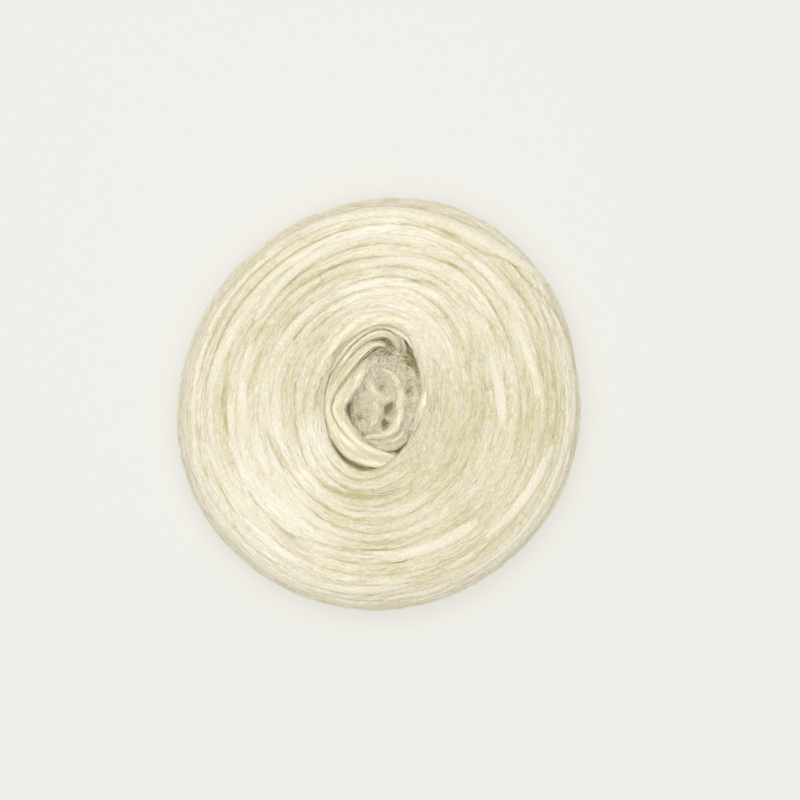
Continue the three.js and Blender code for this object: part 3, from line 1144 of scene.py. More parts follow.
def frames_of(path: Array) -> tuple[Array, Array]:
    """Returns the directions to the side of a path and square to it upwards, at each point.

    Args:
        path: the path's points, as rows of three.

    Returns:
        The directions to the side and the ones upwards, as rows of three.
    """
    tangent = np.gradient(path, axis=0)
    tangent /= np.linalg.norm(tangent, axis=1)[:, None]
    side = np.cross(tangent, (0.0, 0.0, 1.0))
    side /= np.linalg.norm(side, axis=1)[:, None]
    return side, np.cross(side, tangent)


@dataclass(frozen=True)
class StrandShape:
    """The points, tone and strand map of one strand, ready to be made a mesh."""

    rings: Array
    tone: Array
    along: Array
    across: Array


@dataclass(frozen=True)
class Strand:
    """A soft strand of roving on a given route, with its plies and fibres.

    The route's points are in millimetres in the source's frame. sizes are shares of the diameter,
    spread evenly along the strand. The tones say how much the fibres and the plies change the
    brightness, and how much painted shade darkens the sides and the underside, where the strand lies
    against its neighbours. The fibres' measures are the least and the greatest.
    """

    name: str
    route: tuple[tuple[float, float, float], ...]
    diameter: float
    sizes: tuple[float, ...]
    seed: int
    flatness: float = 0.7
    plies: int = 3
    ply_depth: float = 0.09
    turn_mm: float = 110.0
    sides: int = 36
    steps: int = 140
    fibre_strength: float = 1.0
    seam: tuple[float, float] = (0.7, 1.0)
    tone: float = 0.96
    dark: float = 0.0
    fibre_tone: float = 0.8
    ply_tone: float = 0.13
    # Painted shade on the sides and underside of the strand, where it lies against its neighbours.
    side_shade_tone: float = 0.3
    side_shade_power: float = 1.5
    fibre_length: tuple[float, float] = (4.0, 13.0)
    fibre_middle: tuple[float, float] = (0.02, 0.98)
    fibre_turn: tuple[float, float] = (-0.15, 1.15)
    fibre_twist: float = 0.5
    fibre_arch: tuple[float, float] = (0.0, 0.7)
    fibre_lift: float = 0.04

    def path(self, shift: tuple[float, float]) -> Array:
        """Returns the strand's centreline in millimetres."""
        return smooth_route(self.route, self.steps) + (*shift, 0.0)

    def size(self, share: Array) -> Array:
        """Returns the strand's radius at a share of its length."""
        knots = np.linspace(0.0, 1.0, len(self.sizes))
        return soft_interp(share, knots, np.array(self.sizes)) * self.diameter / 2.0

    def shape(self, shift: tuple[float, float]) -> StrandShape:
        """Works out the strand's surface.

        Args:
            shift: the step from the source's frame to the part's.

        Returns:
            The strand's points, tone and strand map.
        """
        path = self.path(shift)
        side, up = frames_of(path)
        along = lengths_along(path)[:, None]
        turn = (FULL_TURN * np.arange(self.sides) / self.sides)[None, :]
        size = self.size(along / along[-1])
        lobes = np.cos(self.plies * (turn - FULL_TURN * along / self.turn_mm) + self.seed)
        across = turn * self.diameter / 2.0
        wrapped = np.abs(turn - math.pi) / math.pi
        fibres = lerp(
            Streaks(self.seed, self.fibre_strength)(along, across),
            Streaks(self.seed + 1, self.fibre_strength)(along, across),
            smoothstep(wrapped, *self.seam),
        )
        thin = size / (self.diameter / 2.0)
        radius = size * (1.0 + self.ply_depth * (lobes - 1.0)) + fibres * thin
        aside, rise = radius * np.cos(turn), radius * self.flatness * np.sin(turn)
        rings = path[:, None] + aside[..., None] * side[:, None] + rise[..., None] * up[:, None]
        tone = self.tone - self.dark + self.fibre_tone * fibres + self.ply_tone * (lobes - 1.0)
        # Painted shade on the sides and the underside.
        tone = tone - self.side_shade_tone * (1.0 - np.clip(np.sin(turn), 0.0, 1.0)) ** self.side_shade_power
        around = np.linspace(0.0, FULL_TURN, self.sides + 1) * self.diameter / 2.0
        width = np.broadcast_to(around, (1, self.steps, self.sides + 1))
        return StrandShape(rings[None, :, ::-1], tone[None, :, ::-1], along[None, :, 0], width)

    def build(self, shift: tuple[float, float]) -> bpy.types.Object:
        """Makes the strand a piece of its own."""
        shape = self.shape(shift)
        return MeshMaker.tubes(self.name, shape.rings, shape.tone, shape.along, shape.across)

    def fibres(self, shift: tuple[float, float], count: int, seed: int, steps: int) -> Array:
        """Places single fibres along the strand's surface.

        Args:
            shift: the step from the source's frame to the part's.
            count: how many fibres.
            seed: the random seed.
            steps: how many points a fibre has.

        Returns:
            The fibres' centrelines, by fibre, step and coordinate.
        """
        rng = np.random.default_rng(seed)
        path = self.path(shift)
        side, up = frames_of(path)
        along = lengths_along(path)
        u = np.linspace(-0.5, 0.5, steps)[None, :]
        length = rng.uniform(*self.fibre_length, count)[:, None]
        middle = rng.uniform(*self.fibre_middle, count)[:, None] * along[-1]
        place = np.clip(middle + u * length, 0.0, along[-1])
        turn = rng.uniform(*self.fibre_turn, count)[:, None] * math.pi
        turn = turn + rng.normal(0.0, self.fibre_twist, (count, 1)) * u
        lift = rng.uniform(*self.fibre_arch, count)[:, None] * (1.0 - (2.0 * u) ** 2) + self.fibre_lift
        radius = self.size(place / along[-1]) + lift

        def at(rows: Array) -> Array:
            """Reads rows of vectors at the fibres' places along the strand."""
            return np.stack([np.interp(place, along, column) for column in rows.T], -1)

        aside = (radius * np.cos(turn))[..., None] * at(side)
        rise = (radius * self.flatness * np.sin(turn))[..., None] * at(up)
        return at(path) + aside + rise


def joined(name: str, shapes: Sequence[StrandShape]) -> bpy.types.Object:
    """Makes one piece of strands that have as many rings and as many points round.

    Args:
        name: the piece's name.
        shapes: the strands.

    Returns:
        The new piece.
    """
    return MeshMaker.tubes(
        name,
        np.concatenate([shape.rings for shape in shapes]),
        np.concatenate([shape.tone for shape in shapes]),
        np.concatenate([shape.along for shape in shapes]),
        np.concatenate([shape.across for shape in shapes]),
    )


HAIR_SIDES = 3
HAIR_MAP_MM = (12.0, 0.5)


def hairs(
    name: str,
    paths: Array,
    radius: tuple[float, float],
    tone: tuple[float, float],
    seed: int,
    darker: Array | float = 0.0,
    skew: float = 1.0,
) -> bpy.types.Object:
    """Makes thin fibres along many centrelines, as one piece.

    Args:
        name: the piece's name.
        paths: the centrelines, by fibre, step and coordinate.
        radius: the least and the greatest radius, in millimetres.
        tone: the least and the greatest tone.
        seed: the random seed.
        darker: how much is taken off the tone, by fibre and step.
        skew: above 1, more of the fibres are thin.

    Returns:
        The new piece.
    """
    rng = np.random.default_rng(seed)
    count, steps, _ = paths.shape
    thick = lerp(*radius, rng.uniform(0.0, 1.0, count) ** skew)[:, None, None]
    rings = tube_rings(paths, np.broadcast_to(thick, (count, steps, 1)), HAIR_SIDES)
    shade = rng.uniform(*tone, count)[:, None] - np.broadcast_to(darker, (count, steps))
    shade = np.broadcast_to(shade[..., None], rings.shape[:-1])
    along = np.broadcast_to(np.linspace(0.0, HAIR_MAP_MM[0], steps)[None, :], (count, steps))
    around = np.linspace(0.0, HAIR_MAP_MM[1], HAIR_SIDES + 1)
    across = np.broadcast_to(around, (count, steps, HAIR_SIDES + 1))
    return MeshMaker.tubes(name, rings, shade, along, across)


@dataclass(frozen=True)
class Lock:
    """A soft lock of the tuft: its thickness, and its route in the source's frame."""

    thickness: float
    route: tuple[tuple[float, float, float], ...]


@dataclass(frozen=True)
class Curls:
    """The measures of the curly fibres, in millimetres. A pair is the least and the greatest."""

    number: int = 1150
    steps: int = 14
    radius: tuple[float, float] = (0.7, 3.6)
    sweep: tuple[float, float] = (1.4, 5.0)
    swell: float = 0.25
    swell_turns: float = 7.0
    drift: float = 2.4
    lift: tuple[float, float] = (0.05, 1.3)
    end_lift: float = 0.4
    past_edge: float = 1.05
    past_edge_at_wall: float = 0.15
    thickness: tuple[float, float] = (0.06, 0.24)
    thin_share: float = 2.0
    tones: tuple[float, float] = (0.95, 1.45)
    # Painted shade: curls lower in the pad are darker.
    depth_shade_tone: float = 0.15
    depth_from: float = 0.4
    depth_limit: float = 4.0
    # How much the pad's spots and patches carry over to the curls; the dark patches are painted shade.
    mottle_and_shade_tone: float = 1.2


@dataclass(frozen=True)
class Tuft:
    """The teased tuft in the eye: a lumpy pad with dark hollows, soft locks and curly fibres.

    hollows holds rows of a place in plan, a radius and a depth. fuzzy holds rows of a place in plan, a
    spread, a lift and a number of extra fibres. patches holds rows of a place in plan, a radius and how
    much lighter the wool is: the ones below 0 are painted shade in the hollows and by the right wall of
    the eye, the ones above 0 lighter wool. foot_rings holds rows of a share of the spread and a height.
    wall_rise is how far the pad climbs the wall of the eye, which it does around the angle wall_deg.
    """

    form: PlateForm
    spread: Oval = Oval(2.2, 3.2, 14.2, 21.4)
    top_height: float = 38.5
    lip_height: float = 35.0
    rings: int = 70
    steps: int = 190
    hollows: tuple[tuple[float, float, float, float], ...] = (
        (3.6, -2.0, 2.5, 3.8), (5.0, 0.8, 1.5, 2.0), (2.2, -8.4, 2.1, 3.4), (0.2, 6.9, 1.5, 2.2),
        (2.6, 24.4, 2.6, 4.2), (12.8, 18.8, 3.0, 2.4), (13.6, 12.4, 2.2, 2.0), (12.6, 6.2, 1.7, 1.8),
        (-7.4, 6.2, 1.5, 1.4), (-8.9, -5.3, 1.1, 1.8), (-7.8, -13.2, 1.3, 1.4),
        (11.6, -14.3, 1.3, 2.0), (7.6, -14.8, 1.1, 1.4), (0.2, 17.0, 1.4, 1.2),
    )
    locks: tuple[Lock, ...] = (
        Lock(
            4.6,
            (
                (-0.6, 16.2, 36.8), (3.8, 14.4, 37.4), (7.2, 10.6, 37.6), (8.9, 5.2, 37.3),
                (8.7, -0.6, 37.4), (7.9, -6.4, 37.4), (5.2, -11.0, 37.7), (0.4, -13.2, 37.9),
                (-4.4, -13.7, 37.4), (-7.8, -15.0, 36.2),
            ),
        ),
        Lock(
            5.4,
            (
                (-10.0, 1.6, 36.0), (-6.2, 3.4, 37.1), (-2.2, 2.8, 37.6), (-1.6, -1.4, 37.6),
                (-2.6, -6.0, 37.3), (-4.8, -9.8, 36.6), (-7.2, -12.2, 35.7),
            ),
        ),
        Lock(
            4.4,
            (
                (-4.0, 15.2, 36.6), (-4.0, 10.2, 37.6), (-2.6, 5.2, 37.8), (1.4, 3.0, 37.7),
                (5.0, 5.0, 37.3), (5.8, 9.6, 36.9),
            ),
        ),
        Lock(
            2.2,
            (
                (-6.8, -14.4, 35.8), (-2.0, -15.9, 36.5), (3.2, -16.0, 36.7), (8.0, -14.2, 36.6),
                (11.2, -9.4, 36.0),
            ),
        ),
        Lock(
            1.9,
            (
                (-4.0, -17.6, 35.6), (1.4, -18.5, 36.2), (6.2, -18.0, 36.3), (10.0, -15.8, 36.0),
                (12.4, -11.6, 35.6),
            ),
        ),
    )
    fuzzy: tuple[tuple[float, float, float, float, int], ...] = (
        (-2.4, 21.6, 1.8, 1.9, 130), (-4.6, 17.6, 1.6, 1.6, 70), (9.6, 19.4, 2.0, 0.4, 70),
        (15.6, 9.0, 1.8, 0.0, 70), (15.8, 0.0, 2.0, 0.0, 90), (13.6, -8.6, 2.0, 0.0, 90),
        (11.0, -14.6, 1.6, 0.2, 50), (-8.4, -9.0, 1.8, 0.6, 60), (-9.0, 4.6, 1.8, 0.6, 50),
    )
    # Below 0: painted shade in the hollows and by the right wall of the eye; above 0: lighter wool.
    patches: tuple[tuple[float, float, float, float], ...] = (
        (14.2, 18.6, 3.4, -0.5), (13.6, 7.4, 2.8, -0.4), (12.4, 0.6, 2.2, -0.2),
        (1.0, 7.7, 2.0, -0.32), (-5.8, 7.9, 2.0, -0.22), (4.7, -1.4, 2.6, -0.5),
        (1.4, -8.0, 2.2, -0.5), (-8.4, -5.4, 2.0, -0.32), (-5.0, 1.7, 2.6, 0.4),
        (-8.8, -10.3, 2.2, 0.35), (-7.4, 16.4, 4.2, 0.42), (4.6, 4.6, 2.2, 0.2),
        (8.4, 12.0, 3.0, 0.15),
    )
    wall_rise: float = 2.6
    wall_deg: float = -4.0
    seed: int = 41
    ledge: float = 35.0
    raised: float = 0.9
    tone: float = 1.12
    # Painted shade: the pad is darker the deeper it lies below its top.
    relief_shade_tone: float = 0.2
    height_limits: tuple[float, float] = (-5.0, 1.0)
    foot_rings: tuple[tuple[float, float], ...] = ((0.97, 32.0), (0.66, 31.0), (0.6, 27.5))
    foot_height: float = 27.4
    # Painted shade on the pad's foot, deep in the eye.
    foot_shade_tone: float = 0.1
    curls: Curls = Curls()

    def facing(self, around: Array) -> Array:
        """Returns how fully an angle round the tuft faces the wall that the pad climbs."""
        return smoothstep(np.cos(around - math.radians(self.wall_deg)), 0.35, 0.8)

    @staticmethod
    def spots(x: Array, y: Array, rows: Sequence[tuple[float, float, float, float]]) -> Array:
        """Returns the sum of soft round spots, from rows of a place in plan, a radius and a size."""
        return sum(size * np.exp(-((x - sx) ** 2 + (y - sy) ** 2) / r**2) for sx, sy, r, size in rows)

    def height(self, x: Array, y: Array) -> Array:
        """Returns the pad's height at a place in plan, in millimetres.

        Args:
            x: places to the right in the photo, in the source's frame.
            y: places upwards in the photo, in the source's frame.

        Returns:
            The heights, in millimetres.
        """
        dx, dy = x - self.spread.x, y - self.spread.y
        around = np.arctan2(dy, dx)
        share = np.hypot(dx, dy) / self.spread.radius(around)
        dome = lerp(self.lip_height, self.top_height, np.sqrt(np.clip(1.0 - share**2, 0.0, 1.0)))
        climb = smoothstep(share, 0.7, 0.98) + 0.9 * smoothstep(share, 0.98, 1.2)
        dome = dome + self.wall_rise * self.facing(around) * climb
        noise = FibreNoise(self.seed)
        lumps = (noise(x / 2.6 + 40.0, y / 2.6 + 40.0) - 0.5) * 2.0
        lumps += (noise(x + 80.0, y + 80.0) - 0.5) * 0.8
        return dome + lumps - self.spots(x, y, self.hollows)

    def mottle_and_shade(self, x: Array, y: Array) -> Array:
        """Returns how much lighter or darker the teased wool is at a place in plan: fine random spots, and
        the patches, whose dark ones are painted shade in the hollows.

        Args:
            x: places to the right in the photo, in the source's frame.
            y: places upwards in the photo, in the source's frame.

        Returns:
            What is added to the tone.
        """
        noise = FibreNoise(self.seed + 2)
        fine = (noise(x / 2.3 + 60.0, y / 2.3 + 60.0) - 0.5) * 0.55
        fine += (noise(x + 20.0, y + 20.0) - 0.5) * 0.4
        # The dark patches are painted shade.
        return fine + self.spots(x, y, self.patches)

    def pad(self) -> bpy.types.Object:
        """Makes the lumpy pad.

        Returns:
            The pad's piece.
        """
        form, spread = self.form, self.spread
        angle = np.linspace(0.0, FULL_TURN, self.steps, endpoint=False)
        rings, tones = [], []
        for share in np.linspace(0.03, 1.0, self.rings):
            x, y = spread.place(angle, share)
            z = self.height(x, y)
            rings.append(form.placed(x, y, z))
            # Painted shade, darker the deeper the pad lies below its top.
            raised = self.relief_shade_tone * np.clip(z - self.top_height, *self.height_limits)
            tones.append(self.tone + raised + self.mottle_and_shade(x, y))
        for share, height in self.foot_rings:
            rings.append(form.placed(*spread.place(angle, share), height))
            # Painted shade on the pad's foot, deep in the eye.
            tones.append(np.full(angle.shape, self.foot_shade_tone))
        top = form.placed(spread.x, spread.y, self.height(spread.x, spread.y))
        foot = form.placed(spread.x, spread.y, self.foot_height)
        return MeshMaker.dome("eye_tuft_pad", np.stack(rings), top, foot, np.stack(tones))

    def strands(self) -> list[Strand]:
        """Lists the soft locks as strands."""
        return [
            Strand(
                f"lock_{number}",
                tuple((x, y, z + self.raised) for x, y, z in lock.route),
                lock.thickness,
                (0.25, 0.7, 0.95, 1.05, 1.0, 0.9, 0.6, 0.2),
                60 + number,
                flatness=0.45,
                plies=5,
                ply_depth=0.14,
                turn_mm=34.0,
                sides=20,
                steps=70,
                fibre_strength=0.8,
                dark=-0.02,
            )
            for number, lock in enumerate(self.locks)
        ]

    def lock_piece(self) -> bpy.types.Object:
        """Makes the soft curled locks."""
        return joined("eye_tuft_locks", [lock.shape(self.form.shift) for lock in self.strands()])

    def curl_starts(self, rng: np.random.Generator) -> tuple[Array, Array, Array]:
        """Strews the curly fibres over the pad and over its fuzzy places.

        Args:
            rng: the source of the random draws.

        Returns:
            The fibres' places to the right and upwards in plan, and how far each is raised.
        """
        number = self.curls.number
        spot = rng.uniform(0.0, FULL_TURN, number)
        x, y = self.spread.place(spot, np.sqrt(rng.uniform(0.0, 1.0, number)))
        rows = [(x, y, np.zeros(number))]
        for middle_x, middle_y, spread, raised, number in self.fuzzy:
            x = rng.normal(middle_x, spread, number)
            y = rng.normal(middle_y, spread, number)
            rows.append((x, y, np.full(number, raised)))
        x, y, raised = (np.concatenate(column) for column in zip(*rows))
        return x, y, raised

    def curl_piece(self) -> bpy.types.Object:
        """Makes the fine curly fibres.

        Returns:
            The curls' piece.
        """
        curls, spread = self.curls, self.spread
        rng = np.random.default_rng(self.seed)
        x, y, raised = self.curl_starts(rng)
        count = len(x)
        radius = rng.uniform(*curls.radius, count)[:, None]
        start = rng.uniform(0.0, FULL_TURN, count)[:, None]
        sweep = (rng.uniform(*curls.sweep, count) * rng.choice([-1.0, 1.0], count))[:, None]
        u = np.linspace(0.0, 1.0, curls.steps)[None, :]
        turn = start + sweep * u
        grow = radius * (1.0 + curls.swell * np.sin(curls.swell_turns * u + start))
        drift = rng.normal(0.0, curls.drift, (count, 2))
        px = x[:, None] + grow * np.cos(turn) - radius * np.cos(start) + drift[:, :1] * u
        py = y[:, None] + grow * np.sin(turn) - radius * np.sin(start) + drift[:, 1:] * u
        dx, dy = px - spread.x, py - spread.y
        around = np.arctan2(dy, dx)
        past_edge = curls.past_edge + curls.past_edge_at_wall * self.facing(around)
        pull = np.minimum(1.0, spread.radius(around) * past_edge / np.maximum(np.hypot(dx, dy), 0.01))
        px, py = spread.x + dx * pull, spread.y + dy * pull
        lift = rng.uniform(*curls.lift, count)[:, None] * (curls.end_lift + np.sin(math.pi * u))
        level = self.height(px, py)
        path = self.form.placed(px, py, np.maximum(level, self.ledge) + lift + raised[:, None])
        path[:, 1:-1] = (path[:, :-2] + path[:, 1:-1] + path[:, 2:]) / 3.0
        # Painted shade: the curls are darker the deeper they lie, and over the pad's dark patches.
        depth = np.clip(self.top_height - curls.depth_from - level, 0.0, curls.depth_limit)
        darker = curls.depth_shade_tone * depth - self.mottle_and_shade(px, py) * curls.mottle_and_shade_tone
        thick, tones = curls.thickness, curls.tones
        return hairs("eye_tuft_curls", path, thick, tones, self.seed + 1, darker, curls.thin_share)


def tube_rings(path: Array, radius: Array, sides: int) -> Array:
    """Sets rings of points square to many paths.

    Args:
        path: the centrelines, by path, step and coordinate.
        radius: the radius at each step, with a last axis of one.
        sides: how many points a ring has.

    Returns:
        The points, by path, step, point round and coordinate.
    """
    tangent = np.gradient(path, axis=1)
    tangent /= np.maximum(np.linalg.norm(tangent, axis=-1, keepdims=True), 1e-9)
    side = np.cross(tangent, (0.12, 0.05, 1.0))
    side /= np.maximum(np.linalg.norm(side, axis=-1, keepdims=True), 1e-9)
    up = np.cross(side, tangent)
    turn = FULL_TURN * np.arange(sides) / sides
    ends = np.ones(path.shape[1])
    ends[0], ends[-1] = 0.35, 0.35
    size = (radius * ends[None, :, None])[..., None]
    ring = np.cos(turn)[:, None] * side[:, :, None] + np.sin(turn)[:, None] * up[:, :, None]
    return path[:, :, None] + size * ring


class Signal:
    """A number that runs through a shader. Python's operators combine signals with Math nodes."""

    def __init__(self, graph: "Graph", socket: bpy.types.NodeSocket) -> None:
        """Wraps the output socket of a node."""
        self.graph = graph
        self.socket = socket

    def _join(self, operation: str, first: object, second: object) -> "Signal":
        """Adds a Math node on two values."""
        made = self.graph.node("ShaderNodeMath", {"operation": operation}, {0: first, 1: second})
        return Signal(self.graph, made.outputs[0])

    def __add__(self, other: object) -> "Signal":
        """Adds."""
        return self._join("ADD", self, other)

    def __radd__(self, other: object) -> "Signal":
        """Adds, with the signal on the right."""
        return self._join("ADD", other, self)

    def __sub__(self, other: object) -> "Signal":
        """Subtracts."""
        return self._join("SUBTRACT", self, other)

    def __rsub__(self, other: object) -> "Signal":
        """Subtracts the signal from a value."""
        return self._join("SUBTRACT", other, self)

    def __mul__(self, other: object) -> "Signal":
        """Multiplies."""
        return self._join("MULTIPLY", self, other)

    def __rmul__(self, other: object) -> "Signal":
        """Multiplies, with the signal on the right."""
        return self._join("MULTIPLY", other, self)


class Graph:
    """The node tree of one material."""

    def __init__(self, name: str) -> None:
        """Starts a material with an empty tree.

        Args:
            name: the material's name.
        """
        self.material = bpy.data.materials.new(name)
        self.material.use_nodes = True
        self.tree = self.material.node_tree
        self.tree.nodes.clear()

    def node(self, kind: str, settings: dict | None = None, sockets: dict | None = None) -> bpy.types.Node:
        """Adds a node.

        Args:
            kind: the node's type.
            settings: the node's own settings, such as a Math node's operation.
            sockets: values, signals or sockets for its inputs, by name or number.

        Returns:
            The new node.
        """
        made = self.tree.nodes.new(kind)
        for name, value in (settings or {}).items():
            setattr(made, name, value)
        for name, value in (sockets or {}).items():
            target = made.inputs[name]
            if isinstance(value, Signal):
                value = value.socket
            if isinstance(value, bpy.types.NodeSocket):
                self.tree.links.new(value, target)
            else:
                target.default_value = value
        return made

    def number(self, kind: str, settings: dict, sockets: dict, output: int | str = 0) -> Signal:
        """Adds a node and returns one of its outputs as a signal."""
        return Signal(self, self.node(kind, settings, sockets).outputs[output])

    def mix(self, factor: object, low: Sequence[float], high: Sequence[float]) -> bpy.types.NodeSocket:
        """Mixes two colours.

        Args:
            factor: 0 for the low colour and 1 for the high one.
            low: a colour.
            high: another colour.

        Returns:
            The mixed colour's socket.
        """
        settings = {"data_type": "RGBA", "clamp_factor": True}
        made = self.node("ShaderNodeMix", settings, {0: factor, 6: (*low, 1.0), 7: (*high, 1.0)})
        return made.outputs[2]

    def stretched(self, vector: bpy.types.NodeSocket, scale: Sequence[float]) -> bpy.types.NodeSocket:
        """Scales a vector by three numbers."""
        made = self.node("ShaderNodeVectorMath", {"operation": "MULTIPLY"}, {0: vector, 1: tuple(scale)})
        return made.outputs[0]

    def multiplied(self, first: bpy.types.NodeSocket, second: bpy.types.NodeSocket) -> bpy.types.NodeSocket:
        """Multiplies two colours.

        Args:
            first: a colour's socket.
            second: another colour's socket.

        Returns:
            The product's socket.
        """
        settings = {"data_type": "RGBA", "blend_type": "MULTIPLY", "clamp_factor": True}
        made = self.node("ShaderNodeMix", settings, {0: 1.0, 6: first, 7: second})
        return made.outputs[2]

    def shaded(self, sockets: dict) -> bpy.types.Material:
        """Ends the tree with a shader and the output.

        Args:
            sockets: values, signals or sockets for the shader's inputs, by name.

        Returns:
            The finished material.
        """
        shader = self.node("ShaderNodeBsdfPrincipled", {}, sockets)
        self.node("ShaderNodeOutputMaterial", {}, {"Surface": shader.outputs[0]})
        return self.material


@dataclass(frozen=True)
class Fleece:
    """The finish of the wool: matt and soft, with fine fibres along the strand.

    The noises' cells are in millimetres along and across the strand.
    """

    name: str
    light: tuple[float, float, float]
    shade: tuple[float, float, float]
    roughness: float = 0.92
    specular: float = 0.08
    sheen: float = 0.02
    sheen_roughness: float = 0.6
    sheen_tint: tuple[float, float, float] = (0.98, 0.97, 0.93)
    fibre_height: float = 0.16
    bump: float = 0.8
    bump_hair_share: float = 0.4
    contrast: float = 0.68
    hair_share: float = 0.8
    grain_share: float = 0.6
    patch_contrast: float = 0.3
    tint_contrast: float = 3.0
    warm: tuple[float, float, float] = (1.01, 0.992, 0.96)
    cool: tuple[float, float, float] = (0.985, 1.002, 1.0)
    softness: float = 0.35
    soft_reach: tuple[float, float, float] = (0.8, 0.75, 0.66)
    fibre_cell: tuple[float, float] = (2.6, 0.5)
    hair_cell: tuple[float, float] = (1.3, 0.32)
    grain_cell: tuple[float, float] = (0.6, 0.36)
    patch_cell: tuple[float, float] = (18.0, 4.0)
    tint_cell: tuple[float, float] = (9.0, 2.6)
    crimp_cell: tuple[float, float] = (2.6, 4.0)
    crimp: float = 1.5

    def material(self) -> bpy.types.Material:
        """Builds the material.

        Returns:
            The material.
        """
        graph = Graph(self.name)
        strand = graph.node("ShaderNodeUVMap", {"uv_map": MeshMaker.STRAND_MAP}).outputs[0]
        tone = graph.number("ShaderNodeAttribute", {"attribute_name": MeshMaker.TONE}, {}, "Fac")
        crimp = (self.noise(graph, strand, self.crimp_cell, start=71.0) - 0.5) * self.crimp
        aside = graph.node("ShaderNodeCombineXYZ", {}, {"Y": crimp}).outputs[0]
        strand = graph.node("ShaderNodeVectorMath", {"operation": "ADD"}, {0: strand, 1: aside}).outputs[0]
        fibres = self.noise(graph, strand, self.fibre_cell, start=3.0)
        hairs_on = self.noise(graph, strand, self.hair_cell, start=17.0)
        grain = self.noise(graph, strand, self.grain_cell, start=29.0)
        patches = self.noise(graph, strand, self.patch_cell, start=41.0)
        tint = self.noise(graph, strand, self.tint_cell, start=53.0)
        fine = (fibres - 0.5) + (hairs_on - 0.5) * self.hair_share + (grain - 0.5) * self.grain_share
        bright = tone + fine * self.contrast + (patches - 0.5) * self.patch_contrast
        warmth = (tint - 0.5) * self.tint_contrast + 0.5
        wool = graph.mix(bright, self.shade, self.light)
        colour = graph.multiplied(wool, graph.mix(warmth, self.cool, self.warm))
        height = fibres * (1.0 - self.bump_hair_share) + hairs_on * self.bump_hair_share
        relief = {"Strength": self.bump, "Distance": self.fibre_height * MM, "Height": height}
        bump = graph.node("ShaderNodeBump", {}, relief)
        return graph.shaded(
            {
                "Base Color": colour,
                "Roughness": self.roughness,
                "Specular IOR Level": self.specular,
                "Sheen Weight": self.sheen,
                "Sheen Roughness": self.sheen_roughness,
                "Sheen Tint": (*self.sheen_tint, 1.0),
                "Subsurface Weight": self.softness,
                "Subsurface Radius": self.soft_reach,
                "Subsurface Scale": MM,
                "Normal": bump.outputs[0],
            }
        )

    @staticmethod
    def noise(graph: Graph, strand: bpy.types.NodeSocket, cell: tuple[float, float], start: float) -> Signal:
        """Adds a noise whose cells are stretched along the strand.

        Args:
            graph: the material's graph.
            strand: the places on the strand, in millimetres.
            cell: the cells' size along and across the strand, in millimetres.
            start: a number that sets this noise apart from the others.

        Returns:
            The noise, from 0 to 1.
        """
        vector = graph.stretched(strand, (1.0 / cell[0], 1.0 / cell[1], 0.0))
        moved = graph.node("ShaderNodeVectorMath", {"operation": "ADD"}, {0: vector, 1: (start, start, 0.0)})
        sockets = {"Vector": moved.outputs[0], "Scale": 1.0, "Detail": 1.0, "Roughness": 0.5}
        return graph.number("ShaderNodeTexNoise", {"noise_dimensions": "2D"}, sockets)


@dataclass(frozen=True)
class FloorPaint:
    """The finish of the pale floor, which glows a little so that it is as even as in the photo."""

    colour: tuple[float, float, float] = (0.871, 0.863, 0.823)
    share: float = 0.4
    glow: float = 0.568
    roughness: float = 0.9

    def material(self) -> bpy.types.Material:
        """Builds the material.

        Returns:
            The material.
        """
        return Graph("pale_floor").shaded(
            {
                "Base Color": (*(value * self.share for value in self.colour), 1.0),
                "Roughness": self.roughness,
                "Emission Color": (*self.colour, 1.0),
                "Emission Strength": self.glow,
            }
        )


